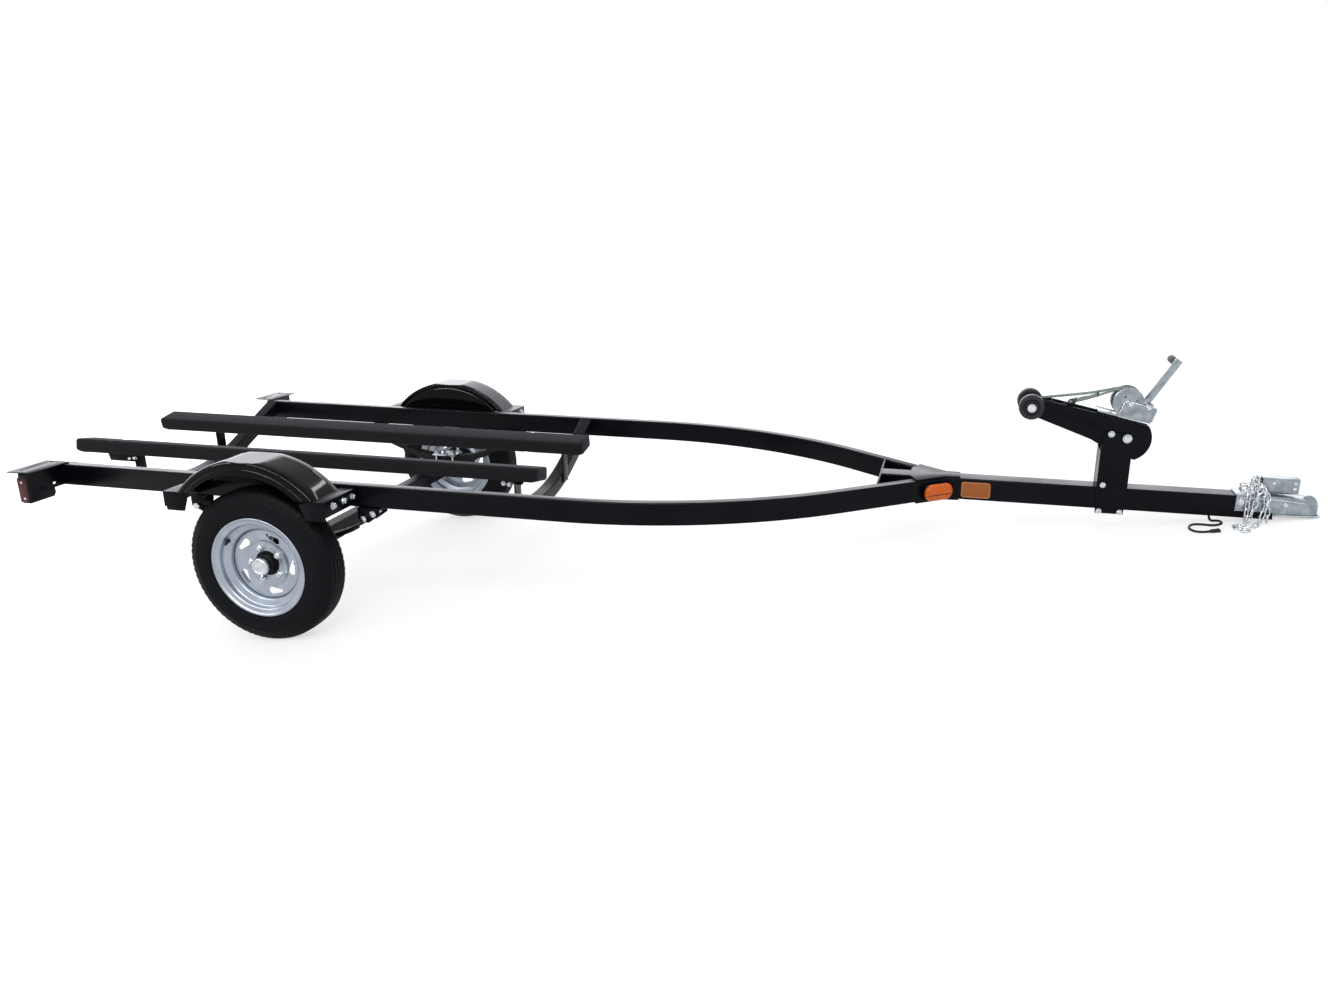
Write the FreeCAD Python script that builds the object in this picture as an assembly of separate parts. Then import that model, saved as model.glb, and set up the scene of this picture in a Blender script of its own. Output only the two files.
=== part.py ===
import FreeCAD, Part
import math
import os

V = FreeCAD.Vector
os.makedirs("parts", exist_ok=True)

# The trailer is drawn level, as it is towed: +X forward, +Y to its left, +Z up,
# with the origin at the middle of the axle. The last step tips it nose down about
# the axle until the coupler touches the floor, which is how it stands with no jack.

# Fits
seat_gap = 0.3
running_fit = 0.05

# Frame tubes
rail_height = 76.2
rail_width = 38.1
rail_wall = 3.0
rail_corner = 5.0
rail_top = 264.9
rail_half_span = 612.0
rail_rear_x = -885.0
rail_bend_x = 1022.7
rail_bend_radius = 1398.0
rail_bend_angle = 38.5
tongue_width = 76.2
tongue_wall = 3.2
tongue_front_x = 3303.0
tongue_tail = 224.4
junction_plate_thickness = 6.0
gusset_thickness = 4.8
gusset_tail = 122.4
gusset_shoulder = 95.4
gusset_nose = 49.6
gusset_rear_half_width = 52.0
gusset_nose_half_width = 34.0

# Cross-members
member_width = 50.8
member_height = 50.8
member_wall = 3.0
member_bend_radius = 756.0
member_slope = 23.6
front_member_x = 681.0
rear_member_x = -855.0

# Wheels, tyres and axle
tyre_radius = 268.0
tyre_half_width = 60.0
tyre_wall = 9.0
wheel_gap = 42.0
tyre_segments = 54
rim_flange_radius = 174.0
rim_seat_radius = 152.0
rim_well_radius = 128.0
rim_half_width = 57.0
rim_wall = 3.0
disc_wall = 4.0
disc_crown = 8.0
disc_flat_radius = 78.0
window_count = 5
window_radius = 99.0
window_wide_radius = 12.5
window_narrow_radius = 6.0
window_length = 36.0
window_slant = 12.0
wheel_turn = -16.0
stud_circle_radius = 57.15
stud_radius = 6.35
stud_length = 34.0
nut_radius = 11.0
nut_height = 16.0
pilot_hole_radius = 43.0
hub_flange_radius = 70.0
hub_flange_thickness = 10.0
hub_barrel_radius = 36.0
hub_barrel_length = 74.0
hub_nose_radius = 34.0
dust_cap_radius = 31.0
dust_cap_reach = 53.0
spindle_radius = 12.7
axle_side = 50.8
axle_wall = 4.0

# Leaf springs
spring_width = 44.5
leaf_thickness = 7.5
leaf_count = 4
spring_eye_x = 322.0
spring_eye_z = 152.0
eye_outer_radius = 15.0
eye_bolt_radius = 7.0
hanger_wall = 5.0
hanger_drop = 14.0
front_hanger_reach = 56.0
rear_hanger_reach = 24.0
clamp_plate_length = 110.0
clamp_plate_thickness = 6.0
ubolt_radius = 5.5
ubolt_spacing = 76.0

# Fenders
fender_radius = 330.0
fender_centre_z = 45.0
fender_wall = 2.6
fender_width = 151.0
fender_offset = 12.0
fender_end_z = 257.0
fender_flat_z = 368.5
fender_bead_radius = 287.0
fender_lip_depth = 9.0
angle_side = 52.0
angle_wall = 5.0
end_plate_drop = 64.0

# Bunks
bunk_width = 97.0
bunk_thickness = 45.0
bunk_rear_x = -1130.0
bunk_front_x = 805.0
bunk_y = 230.0
bunk_z = 236.0
bunk_tilt = 10.4
bracket_wall = 5.0
bracket_width = 50.0
front_pad_length = 45.0
rear_pad_length = 125.0
rear_web_height = 34.0

# Tail
tail_flange_rear = 72.0
tail_flange_front = 23.0
tail_flange_inner = 26.0
tail_flange_reach = 143.0
tail_plate_inner = 29.0
tail_plate_reach = 133.0
tail_plate_drop = 101.0
tail_plate_thickness = 3.0
tail_hole_radius = 4.5
tail_slot_length = 17.0
tail_slot_height = 7.0
lamp_width = 108.0
lamp_height = 108.0
lamp_depth = 44.0

# Winch stand
post_x = 2786.0
post_depth = 100.0
post_wall = 4.5
post_drop = 14.0
clamp_bolt_radius = 4.5
head_pivot_x = 2817.0
head_pivot_z = 438.6
head_radius = 78.0
arm_heel_drop = 10.0
arm_wall = 4.0
roller_x = 2498.0
roller_z = 534.0
roller_radius = 42.0
roller_width = 34.0
roller_shaft_radius = 8.0
winch_x = 2808.0
winch_z = 557.0
drum_radius = 22.0
drum_flange_radius = 50.0
drum_flange_thickness = 2.5
winding_depth = 18.0
winch_frame_wall = 3.5
winch_frame_half_width = 36.0
winch_tilt = 12.0
winch_plate_length = 112.0
winch_plate_height = 58.0
winch_foot_length = 66.0
crank_shaft_x = 2874.0
crank_shaft_z = 543.6
crank_tip_x = 2957.0
crank_tip_z = 682.0
grip_length = 105.0
grip_radius = 13.0
rope_radius = 5.0

# Coupler
coupler_rear_x = 3182.0
coupler_taper_x = 3318.0
ball_x = 3413.0
ball_radius = 25.4
ball_play = 0.5
coupler_tip_x = 3452.0
coupler_wall = 3.2
coupler_side_bottom = 214.0
lip_bottom = 205.0
lip_width = 11.0
nose_half_width = 33.0
dome_radius = 30.5
dome_z = 241.0
latch_rear_x = 3262.0
latch_front_x = 3376.0
latch_top = 326.0
latch_half_width = 17.0

# Wiring lead below the tongue
lead_radius = 4.0
lead_exit_back = 191.0
lead_exit_y = -12.0
lead_floor_gap = 0.7
grommet_radius = 9.0
grommet_height = 4.0
plug_length = 32.0
plug_width = 21.0
plug_height = 9.5

# Side lamps
marker_length = 116.0
marker_height = 58.0
marker_base_length = 88.0
marker_base_depth = 16.0
marker_depth = 31.0
marker_overhang = 17.0
marker_z = 222.0
reflector_gap = 55.6
reflector_length = 100.0
reflector_height = 56.0
reflector_depth = 6.0

# Safety chains
link_wire = 2.8
link_inside_length = 25.0
link_inside_width = 11.0
chain_clearance = 16.0
chain_bolt_back = 22.0
chain_cross_back = 65.0
chain_cross_lift = 24.0

rail_bottom = rail_top - rail_height
tongue_half = tongue_width / 2
bend_angle = math.radians(rail_bend_angle)
bend_end_x = rail_bend_x + rail_bend_radius * math.sin(bend_angle)
bend_end_y = rail_bend_radius * (1 - math.cos(bend_angle)) - rail_half_span
meet_x = bend_end_x - (bend_end_y + tongue_half) / math.tan(bend_angle)
tongue_rear_x = meet_x - tongue_tail
wheel_y = rail_half_span + wheel_gap + tyre_half_width
spring_y = rail_half_span - rail_width / 2
fender_inner_y = wheel_y - fender_width / 2 + fender_offset
fender_outer_y = fender_inner_y + fender_width
nodes = {}


def block(x0, x1, y0, y1, z0, z1):
    return Part.makeBox(x1 - x0, y1 - y0, z1 - z0, V(x0, y0, z0))


def rod(radius, start, end):
    along = end.sub(start)
    return Part.makeCylinder(radius, along.Length, start, along)


def polygon_face(points):
    return Part.Face(Part.makePolygon(points + [points[0]]))


def side_plate(outline, y0, y1):
    """A flat plate in the XZ plane, from y0 to y1."""
    face = polygon_face([V(x, y0, z) for x, z in outline])
    return face.extrude(V(0, y1 - y0, 0))


def level_plate(outline, z0, z1):
    face = polygon_face([V(x, y, z0) for x, y in outline])
    return face.extrude(V(0, 0, z1 - z0))


def mirrored(shape):
    return shape.mirror(V(0, 0, 0), V(0, 1, 0))


def both_sides(name, right_shape):
    nodes[name + "_right"] = right_shape
    nodes[name + "_left"] = mirrored(right_shape)


def fused(shapes):
    whole = shapes[0].multiFuse(shapes[1:])
    return whole.removeSplitter()


def rounded_wire(width, height, corner):
    """A rounded rectangle in the YZ plane about the origin."""
    w = width / 2
    h = height / 2
    c = corner
    k = c * (1 - math.sqrt(0.5))
    edges = [
        Part.LineSegment(V(0, -w + c, -h), V(0, w - c, -h)),
        Part.Arc(V(0, w - c, -h), V(0, w - k, -h + k), V(0, w, -h + c)),
        Part.LineSegment(V(0, w, -h + c), V(0, w, h - c)),
        Part.Arc(V(0, w, h - c), V(0, w - k, h - k), V(0, w - c, h)),
        Part.LineSegment(V(0, w - c, h), V(0, -w + c, h)),
        Part.Arc(V(0, -w + c, h), V(0, -w + k, h - k), V(0, -w, h - c)),
        Part.LineSegment(V(0, -w, h - c), V(0, -w, -h + c)),
        Part.Arc(V(0, -w, -h + c), V(0, -w + k, -h + k), V(0, -w + c, -h)),
    ]
    return Part.Wire([edge.toShape() for edge in edges])


def tube_face(width, height, wall, corner):
    outer = rounded_wire(width, height, corner)
    inner = rounded_wire(width - 2 * wall, height - 2 * wall, corner - wall + 1.0)
    return Part.Face(outer).cut(Part.Face(inner)).Faces[0]


# Frame
def side_rail():
    centre_y = -rail_half_span + rail_width / 2
    face = tube_face(rail_width, rail_height, rail_wall, rail_corner)
    face.translate(V(rail_rear_x, centre_y, rail_top - rail_height / 2))
    straight = face.extrude(V(rail_bend_x - rail_rear_x, 0, 0))
    bend_face = face.translated(V(rail_bend_x - rail_rear_x, 0, 0))
    pivot = V(rail_bend_x, -rail_half_span + rail_bend_radius, 0)
    bend = bend_face.revolve(pivot, V(0, 0, 1), rail_bend_angle)
    end_face = bend_face.rotated(pivot, V(0, 0, 1), rail_bend_angle)
    reach = rail_half_span / math.sin(bend_angle)
    tip = end_face.extrude(V(reach * math.cos(bend_angle), reach * math.sin(bend_angle), 0))
    rail = fused([straight, bend, tip])
    keep = block(rail_rear_x - 1, tongue_front_x, -2 * rail_half_span, -tongue_half,
                 rail_bottom - 1, rail_top + 1)
    return rail.common(keep)


def rail_line_y(x, offset):
    """Y of the right rail's straight front end at x, offset inward from its outer side."""
    shift = offset / math.cos(bend_angle)
    return -tongue_half + shift + math.tan(bend_angle) * (x - meet_x)


def tongue_tube():
    face = tube_face(tongue_width, tongue_width, tongue_wall, rail_corner)
    face.translate(V(tongue_rear_x, 0, rail_top - tongue_half))
    return face.extrude(V(tongue_front_x - tongue_rear_x, 0, 0))


def junction_plate():
    back = tongue_rear_x - junction_plate_thickness
    y_back = rail_line_y(back, rail_width)
    y_front = rail_line_y(tongue_rear_x, rail_width)
    outline = [(back, y_back), (tongue_rear_x, y_front),
               (tongue_rear_x, -y_front), (back, -y_back)]
    return level_plate(outline, rail_bottom, rail_top)


def gusset(z0):
    shoulder_x = meet_x - gusset_shoulder
    shoulder = -rail_line_y(shoulder_x, 0) - 1.0
    half = [(meet_x - gusset_tail, gusset_rear_half_width), (shoulder_x, shoulder),
            (meet_x, tongue_half), (meet_x + gusset_nose, gusset_nose_half_width)]
    outline = half + [(x, -y) for x, y in reversed(half)]
    return level_plate(outline, z0, z0 + gusset_thickness)


def cross_member(x):
    """A tube from rail to rail that dips in the middle, its top level with the rails."""
    face = tube_face(member_width, member_height, member_wall, rail_corner)
    face.rotate(V(0, 0, 0), V(0, 0, 1), 90)
    slope = math.radians(member_slope)
    inner_y = rail_half_span - rail_width
    bend_y = member_bend_radius * math.sin(slope)
    bend_rise = member_bend_radius * (1 - math.cos(slope))
    top_low = rail_top - bend_rise - (inner_y - bend_y) * math.tan(slope)
    centre_z = top_low - member_height / 2
    pivot = V(x, 0, top_low + member_bend_radius)
    face.translate(V(x, 0, centre_z))
    start_face = face.rotated(pivot, V(1, 0, 0), -member_slope)
    bend = start_face.revolve(pivot, V(1, 0, 0), 2 * member_slope)
    end_face = face.rotated(pivot, V(1, 0, 0), member_slope)
    reach = inner_y / math.cos(slope)
    end = end_face.extrude(V(0, reach * math.cos(slope), reach * math.sin(slope)))
    whole = fused([bend, end, end.mirror(V(0, 0, 0), V(0, 1, 0))])
    keep = block(x - member_width, x + member_width, -inner_y, inner_y,
                 top_low - 2 * member_height, rail_top)
    return whole.common(keep)


# Wheels: the right side is built, and the left is its mirror image
def revolved(profile, y_centre):
    """Turns an outline of (radius, y) points about the wheel's axis."""
    face = polygon_face([V(0, y_centre + y, radius) for radius, y in profile])
    return face.revolve(V(0, y_centre, 0), V(0, 1, 0), 360)


def ring_solid(profile, y_centre, segments, turn):
    """A ring of flat faces: the outline of (radius, y) points at each of the segments."""
    step = 2 * math.pi / segments
    rings = []
    for k in range(segments):
        angle = step * (k + 0.5) + turn
        ring = []
        for radius, y in profile:
            ring.append(V(radius * math.sin(angle), y_centre + y, -radius * math.cos(angle)))
        rings.append(ring)
    faces = []
    for k in range(segments):
        this = rings[k]
        following = rings[(k + 1) % segments]
        for n in range(len(profile)):
            m = (n + 1) % len(profile)
            faces.append(polygon_face([this[n], this[m], following[m], following[n]]))
    solid = Part.Solid(Part.Shell(faces))
    if solid.Volume < 0:
        solid.reverse()
    return solid


def tyre():
    """Plain tyre of flat facets, turned so that one of them lies on the floor."""
    w = tyre_half_width
    r = tyre_radius / math.cos(math.pi / tyre_segments)
    t = tyre_wall
    bead = rim_seat_radius + 3 * seat_gap
    rim_in = rim_half_width - rim_wall - 2 * seat_gap
    outer = [(bead, rim_in - 6), (rim_flange_radius + 2, rim_in), (r - 54, w), (r - 20, w - 8),
             (r, w - 28)]
    inner = [(r - t, w - 34), (r - 54, w - t), (bead, rim_in - 6 - t)]
    profile = outer + [(a, -b) for a, b in reversed(outer)]
    profile += [(a, -b) for a, b in reversed(inner)] + inner
    return ring_solid(profile, -wheel_y, tyre_segments, lean_angle())


def wheel_outline():
    """The pressed rim and the disc welded into its well, as one outline of (radius, y) points."""
    w = rim_half_width
    t = rim_wall
    f = rim_flange_radius
    s = rim_seat_radius
    d = rim_well_radius
    tyre_side = [(f, w), (f, w - t), (s + 6, w - t), (s, w - t - 4), (s, w - 24), (d, w - 34)]
    tyre_side += [(a, -b) for a, b in reversed(tyre_side)]
    open_side = [(f - t, w + 1.5), (s + 2, w - 1), (s - t, w - 10), (s - t, w - 25), (d - t, w - 36)]
    outboard = [(a, -b) for a, b in open_side]
    t = disc_wall
    c = disc_crown + t
    q = disc_flat_radius
    p = pilot_hole_radius
    well = rim_well_radius - rim_wall
    face = [(well, 6 - c), (well - 4, 2 - c), (well - 8, -c), (q + 12, -c), (q + 6, 2 - c),
            (q + 1, 5 - c), (q - 5, -t), (p, -t)]
    back = [(p, 0), (q - 3, 0), (q + 4, -disc_crown / 2), (q + 10, -disc_crown), (well - 10, -disc_crown),
            (well - 6, 6 - c), (well - 4, 0), (well, 0)]
    return tyre_side + outboard + face + back + list(reversed(open_side))


def disc_window(angle):
    """A teardrop hole through the disc, slanting round the wheel."""
    low = -wheel_y - 200
    high = -wheel_y + 200
    half = window_length / 2
    big = rod(window_wide_radius, V(half, low, 0), V(half, high, 0))
    small = rod(window_narrow_radius, V(-half, low, 0), V(-half, high, 0))
    neck = side_plate([(half, window_wide_radius), (half, -window_wide_radius),
                       (-half, -window_narrow_radius), (-half, window_narrow_radius)], low, high)
    cut = big.multiFuse([small, neck])
    cut.rotate(V(0, 0, 0), V(0, 1, 0), window_slant)
    cut.translate(V(0, 0, window_radius))
    cut.rotate(V(0, 0, 0), V(0, 1, 0), angle)
    return cut


def stud_places():
    places = []
    for k in range(5):
        angle = math.radians(wheel_turn + 72.0 * k)
        places.append((stud_circle_radius * math.sin(angle), stud_circle_radius * math.cos(angle)))
    return places


def wheel():
    """Pressed rim and disc with the disc's windows and stud holes."""
    cuts = [disc_window(wheel_turn + 360.0 / window_count * (k + 0.5)) for k in range(window_count)]
    for x, z in stud_places():
        cuts.append(rod(stud_radius + running_fit, V(x, -wheel_y - 60, z), V(x, -wheel_y + 60, z)))
    return revolved(wheel_outline(), -wheel_y).cut(cuts[0].multiFuse(cuts[1:]))


def hub():
    face_y = -wheel_y + seat_gap
    barrel = rod(hub_barrel_radius, V(0, face_y, 0), V(0, face_y + hub_barrel_length, 0))
    flange = rod(hub_flange_radius, V(0, face_y, 0), V(0, face_y + hub_flange_thickness, 0))
    nose = rod(hub_nose_radius, V(0, face_y, 0), V(0, face_y - 24, 0))
    cap = rod(dust_cap_radius, V(0, face_y, 0), V(0, face_y - dust_cap_reach, 0))
    cap_rims = [e for e in cap.Edges if abs(e.CenterOfMass.y - (face_y - dust_cap_reach)) < 0.1]
    cap = cap.makeChamfer(4.0, cap_rims)
    bore = rod(spindle_radius + running_fit, V(0, face_y - dust_cap_reach + 6, 0),
               V(0, face_y + hub_barrel_length + 1, 0))
    studs = []
    for x, z in stud_places():
        studs.append(rod(stud_radius, V(x, face_y + 2, z), V(x, face_y - stud_length, z)))
    body = fused([barrel, flange, nose, cap] + studs)
    return body.cut(bore)


def lug_nuts():
    base_y = -wheel_y - disc_wall - seat_gap
    shapes = []
    for x, z in stud_places():
        corners = []
        for n in range(6):
            turn = math.radians(60.0 * n)
            corners.append((x + nut_radius * math.cos(turn), z + nut_radius * math.sin(turn)))
        nut = side_plate(corners, base_y - nut_height, base_y)
        hole = rod(stud_radius + running_fit, V(x, base_y - nut_height - 1, z), V(x, base_y + 1, z))
        shapes.append(nut.cut(hole))
    return Part.makeCompound(shapes)


def axle():
    """Square tube with a stub spindle turned at each end."""
    face = tube_face(axle_side, axle_side, axle_wall, rail_corner)
    face.rotate(V(0, 0, 0), V(0, 0, 1), 90)
    inner_end = -wheel_y + hub_barrel_length + 5
    face.translate(V(0, inner_end, 0))
    beam = face.extrude(V(0, -2 * inner_end, 0))
    tip = -wheel_y - dust_cap_reach + 12
    parts = [beam]
    half = axle_side / 2 - axle_wall + 1.0
    for side in (1, -1):
        ends = sorted((side * (inner_end + 60), side * (inner_end - 2)))
        parts.append(block(-half, half, ends[0], ends[1], -half, half))
        parts.append(rod(spindle_radius, V(0, side * (inner_end + 10), 0), V(0, side * tip, 0)))
    return fused(parts)


# Springs
def spring_sag():
    """Rise of the main leaf's top face from the axle to the eyes, which are rolled from it."""
    return spring_eye_z - eye_outer_radius + leaf_thickness - spring_seat_z()


def leaf_arc(z_drop, half_length, thickness):
    """One leaf bent to the spring's curve, its ends at the given half length."""
    sag = spring_sag()
    radius = (spring_eye_x ** 2 + sag ** 2) / (2 * sag)
    centre = V(0, 0, spring_seat_z() + radius)
    outer = radius + z_drop + thickness
    inner = radius + z_drop
    half = math.asin(half_length / outer)

    def point(r, angle):
        return V(centre.x + r * math.sin(angle), 0, centre.z - r * math.cos(angle))

    edges = [Part.Arc(point(outer, -half), point(outer, 0), point(outer, half)).toShape(),
             Part.LineSegment(point(outer, half), point(inner, half)).toShape(),
             Part.Arc(point(inner, half), point(inner, 0), point(inner, -half)).toShape(),
             Part.LineSegment(point(inner, -half), point(outer, -half)).toShape()]
    face = Part.Face(Part.Wire(edges))
    face.translate(V(0, -spring_y - spring_width / 2, 0))
    return face.extrude(V(0, spring_width, 0))


def spring_seat_z():
    """Top face of the spring pack's main leaf at the axle."""
    return axle_side / 2 + seat_gap + leaf_count * leaf_thickness


def leaf_spring():
    leaves = []
    for k in range(leaf_count):
        half_length = spring_eye_x - 2 if k == 0 else spring_eye_x * (0.84 - 0.2 * (k - 1))
        leaves.append(leaf_arc(k * leaf_thickness, half_length, leaf_thickness))
    eyes = []
    for x in (-spring_eye_x, spring_eye_x):
        eyes.append(rod(eye_outer_radius, V(x, -spring_y - spring_width / 2, spring_eye_z),
                        V(x, -spring_y + spring_width / 2, spring_eye_z)))
    pack = fused(leaves + eyes)
    for x in (-spring_eye_x, spring_eye_x):
        pack = pack.cut(rod(eye_bolt_radius + running_fit, V(x, -spring_y - 60, spring_eye_z),
                            V(x, -spring_y + 60, spring_eye_z)))
    return pack


def spring_hanger(x, reach):
    """Folded channel under the rail, with the eye bolt and a second bolt through it."""
    half = spring_width / 2 + seat_gap + hanger_wall
    y0 = -spring_y - half
    y1 = -spring_y + half
    top = rail_bottom
    low = spring_eye_z - hanger_drop
    back = x - 24
    front = x + reach
    outline = [(back, top), (front, top), (front, top - 22), (x + 15, low), (x - 15, low), (back, low + 16)]
    cheeks = [side_plate(outline, y0, y0 + hanger_wall), side_plate(outline, y1 - hanger_wall, y1)]
    roof = block(back, front, y0, y1, top - hanger_wall, top)
    body = fused(cheeks + [roof])
    places = [(x, spring_eye_z)]
    if reach > 40:
        places.append((x + 36, spring_eye_z + 20))
    bolts = []
    for bx, bz in places:
        body = body.cut(rod(eye_bolt_radius + running_fit, V(bx, y0 - 1, bz), V(bx, y1 + 1, bz)))
        bolts.append(fused([rod(eye_bolt_radius, V(bx, y0 - 11, bz), V(bx, y1 + 11, bz)),
                            rod(11.0, V(bx, y0 - 10, bz), V(bx, y0, bz)),
                            rod(11.0, V(bx, y1, bz), V(bx, y1 + 10, bz))]))
    return body, bolts


def axle_clamp():
    """Tie plate above the spring and two U-bolts round the axle."""
    top = spring_seat_z() + seat_gap + spring_sag() * (clamp_plate_length / 2 / spring_eye_x) ** 2
    half_w = spring_width / 2 + ubolt_radius + 8
    y0 = -spring_y - half_w
    y1 = -spring_y + half_w
    plate = block(-clamp_plate_length / 2, clamp_plate_length / 2, y0, y1, top, top + clamp_plate_thickness)
    shapes = [plate]
    leg_y = spring_width / 2 + ubolt_radius + 1.5
    for x in (-ubolt_spacing / 2, ubolt_spacing / 2):
        low = -axle_side / 2 - ubolt_radius - 1.5
        for side in (-1, 1):
            y = -spring_y + side * leg_y
            shapes.append(rod(ubolt_radius, V(x, y, low), V(x, y, top + 26)))
            shapes.append(Part.makeCylinder(10.0, 9.0, V(x, y, top + clamp_plate_thickness), V(0, 0, 1)))
        shapes.append(rod(ubolt_radius, V(x, -spring_y - leg_y - ubolt_radius, low),
                          V(x, -spring_y + leg_y + ubolt_radius, low)))
    return fused(shapes)


# Fenders
def arch(profile):
    """Turns an outline of (radius, distance from the inner edge) about the fender's centre."""
    points = [V(0, -fender_inner_y - y, fender_centre_z + radius) for radius, y in profile]
    return polygon_face(points).revolve(V(0, 0, fender_centre_z), V(0, 1, 0), 360)


def fender():
    """Round-backed fender with a flat top, a rolled edge and two beads along its skirt."""
    r = fender_radius
    b = fender_bead_radius
    w = fender_width
    t = fender_wall
    k = 150.0
    outer = [(k, 0), (r - 3, 0), (r, 3), (r, w - 27), (r - 3.5, w - 16), (r - 11, w - 9), (r - 19, w - 6.5),
             (r - 23, w - 8), (r - 27, w - 5.5), (b + 11, w - 2), (b + 5, w - 0.5), (b, w), (k, w)]
    inner = [(k - 1, t), (r - t - 2, t), (r - t, t + 2), (r - t, w - 27.5), (r - t - 3, w - 17.5),
             (r - 12.5, w - 9 - t), (r - 19, w - 6.5 - t), (r - 23, w - 8 - t), (r - 28, w - 5.5 - t),
             (b + 10.5, w - 2 - t), (b + 5, w - 0.5 - t), (k - 1, w - t)]
    low = -r - 1
    outer_body = arch(outer).common(block(low, r + 1, -2 * fender_outer_y, 0, fender_end_z, fender_flat_z))
    inner_body = arch(inner).common(block(low, r + 1, -2 * fender_outer_y, 0, fender_end_z - 1,
                                          fender_flat_z - t))
    skin = outer_body.cut(inner_body)
    middle = V(0, 0, fender_centre_z)
    skirt_room = rod(b, middle.add(V(0, -2 * fender_outer_y, 0)), middle)
    lip_room = rod(r - fender_lip_depth, middle.add(V(0, -fender_inner_y - w / 2, 0)), middle)
    core_room = rod(k + 1, middle.add(V(0, -2 * fender_outer_y, 0)), middle)
    return skin.cut(skirt_room.multiFuse([lip_room, core_room]))


def fender_bracket(sign):
    """Angle from the rail out to the fender's end, closed by a plate at its outer end."""
    reach = math.sqrt(fender_radius ** 2 - (fender_end_z - fender_centre_z) ** 2)
    x0 = sign * (reach - 8)
    x1 = x0 + sign * angle_side
    y0 = -fender_outer_y + 2
    y1 = -rail_half_span
    top = fender_end_z
    t = angle_wall
    leg = block(min(x1, x1 - sign * t), max(x1, x1 - sign * t), y0, y1, top - angle_side, top)
    flange = block(min(x0, x1), max(x0, x1), y0, y1, top - t, top)
    low = top - end_plate_drop
    plate = side_plate([(x0 - sign * 40, top - 12), (x0, top), (x1, top), (x1 - sign * 8, low),
                        (x0 - sign * 20, low)], y0, y0 + t)
    return fused([leg, flange, plate])


# Bunks
def bunk():
    half = bunk_width / 2
    r = 9.0
    wire = rounded_wire(bunk_width, bunk_thickness, r)
    face = Part.Face(wire)
    face.rotate(V(0, 0, 0), V(1, 0, 0), -bunk_tilt)
    face.translate(V(bunk_rear_x, -bunk_y, bunk_z))
    assert half > r
    return face.extrude(V(bunk_front_x - bunk_rear_x, 0, 0))


def member_top_z(y):
    slope = math.radians(member_slope)
    inner_y = rail_half_span - rail_width
    bend_y = member_bend_radius * math.sin(slope)
    bend_rise = member_bend_radius * (1 - math.cos(slope))
    top_low = rail_top - bend_rise - (inner_y - bend_y) * math.tan(slope)
    if abs(y) < bend_y:
        return top_low + member_bend_radius - math.sqrt(member_bend_radius ** 2 - y ** 2)
    return top_low + bend_rise + (abs(y) - bend_y) * math.tan(slope)


def bunk_bracket(x, sign, pad_length, web_height):
    """Upright plate on the cross-member's face, a pad under the bunk and a web between them."""
    tilt = math.radians(bunk_tilt)
    under = bunk_thickness / 2
    pad_y = -bunk_y + under * math.sin(-tilt)
    pad_z = bunk_z - under * math.cos(tilt)
    half = bracket_width / 2
    low_z = member_top_z(bunk_y) - 42
    face_x = x + sign * member_width / 2
    leg = polygon_face([V(face_x, pad_y - half, low_z), V(face_x, pad_y + half, low_z),
                        V(face_x, pad_y + half, pad_z - half * math.tan(tilt) - 2),
                        V(face_x, pad_y - half, pad_z + half * math.tan(tilt) - 2)])
    leg = leg.extrude(V(sign * bracket_wall, 0, 0))
    pad = block(0, pad_length, -half, half, -bracket_wall, 0)
    web = side_plate([(0, -1), (pad_length, -1), (pad_length - 14, -web_height), (0, -web_height)],
                     -half, -half + bracket_wall)
    shelf = fused([pad, web])
    if sign < 0:
        shelf = shelf.mirror(V(0, 0, 0), V(1, 0, 0))
    shelf.rotate(V(0, 0, 0), V(1, 0, 0), -bunk_tilt)
    shelf.translate(V(face_x, pad_y, pad_z))
    return fused([leg, shelf])


# Tail
def tail_bracket():
    """Level flange over the rail's rear end, with an upright plate for the lamp below it."""
    x = rail_rear_x
    y_in = -rail_half_span + tail_flange_inner
    y_out = -rail_half_span - tail_flange_reach
    t = tail_plate_thickness
    flange = block(x - tail_flange_rear, x + tail_flange_front, y_out, y_in, rail_top, rail_top + t)
    y_plate = -rail_half_span - tail_plate_inner
    y_far = -rail_half_span - tail_plate_reach
    low = rail_top - tail_plate_drop
    outline = [(y_far, rail_top + 1), (y_in, rail_top + 1), (y_in, rail_bottom - 3),
               (y_plate, rail_bottom - 3), (y_plate, low), (y_far, low)]
    plate = polygon_face([V(x - t, y, z) for y, z in outline]).extrude(V(t, 0, 0))
    cuts = []
    half = tail_slot_length / 2
    for y in (y_plate - half + 8, y_far + 48):
        z = rail_bottom + 10
        cuts.append(block(x - 10, x + 10, y - half, y + half, z, z + tail_slot_height))
    for hole_x, hole_y in ((x - 37, y_out + 28), (x - 31, y_in - 19)):
        cuts.append(Part.makeCylinder(tail_hole_radius, 20, V(hole_x, hole_y, rail_top - 5), V(0, 0, 1)))
    return fused([flange, plate]).cut(cuts[0].multiFuse(cuts[1:]))


def tail_lamp():
    x1 = rail_rear_x - tail_plate_thickness
    y0 = -rail_half_span - tail_plate_reach - 3
    z1 = rail_top - 3
    body = block(x1 - lamp_depth, x1, y0, y0 + lamp_width, z1 - lamp_height, z1)
    upright_edges = [e for e in body.Edges if abs(e.Vertexes[0].X - e.Vertexes[1].X) > 1]
    return body.makeFillet(9.0, upright_edges)


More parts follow.
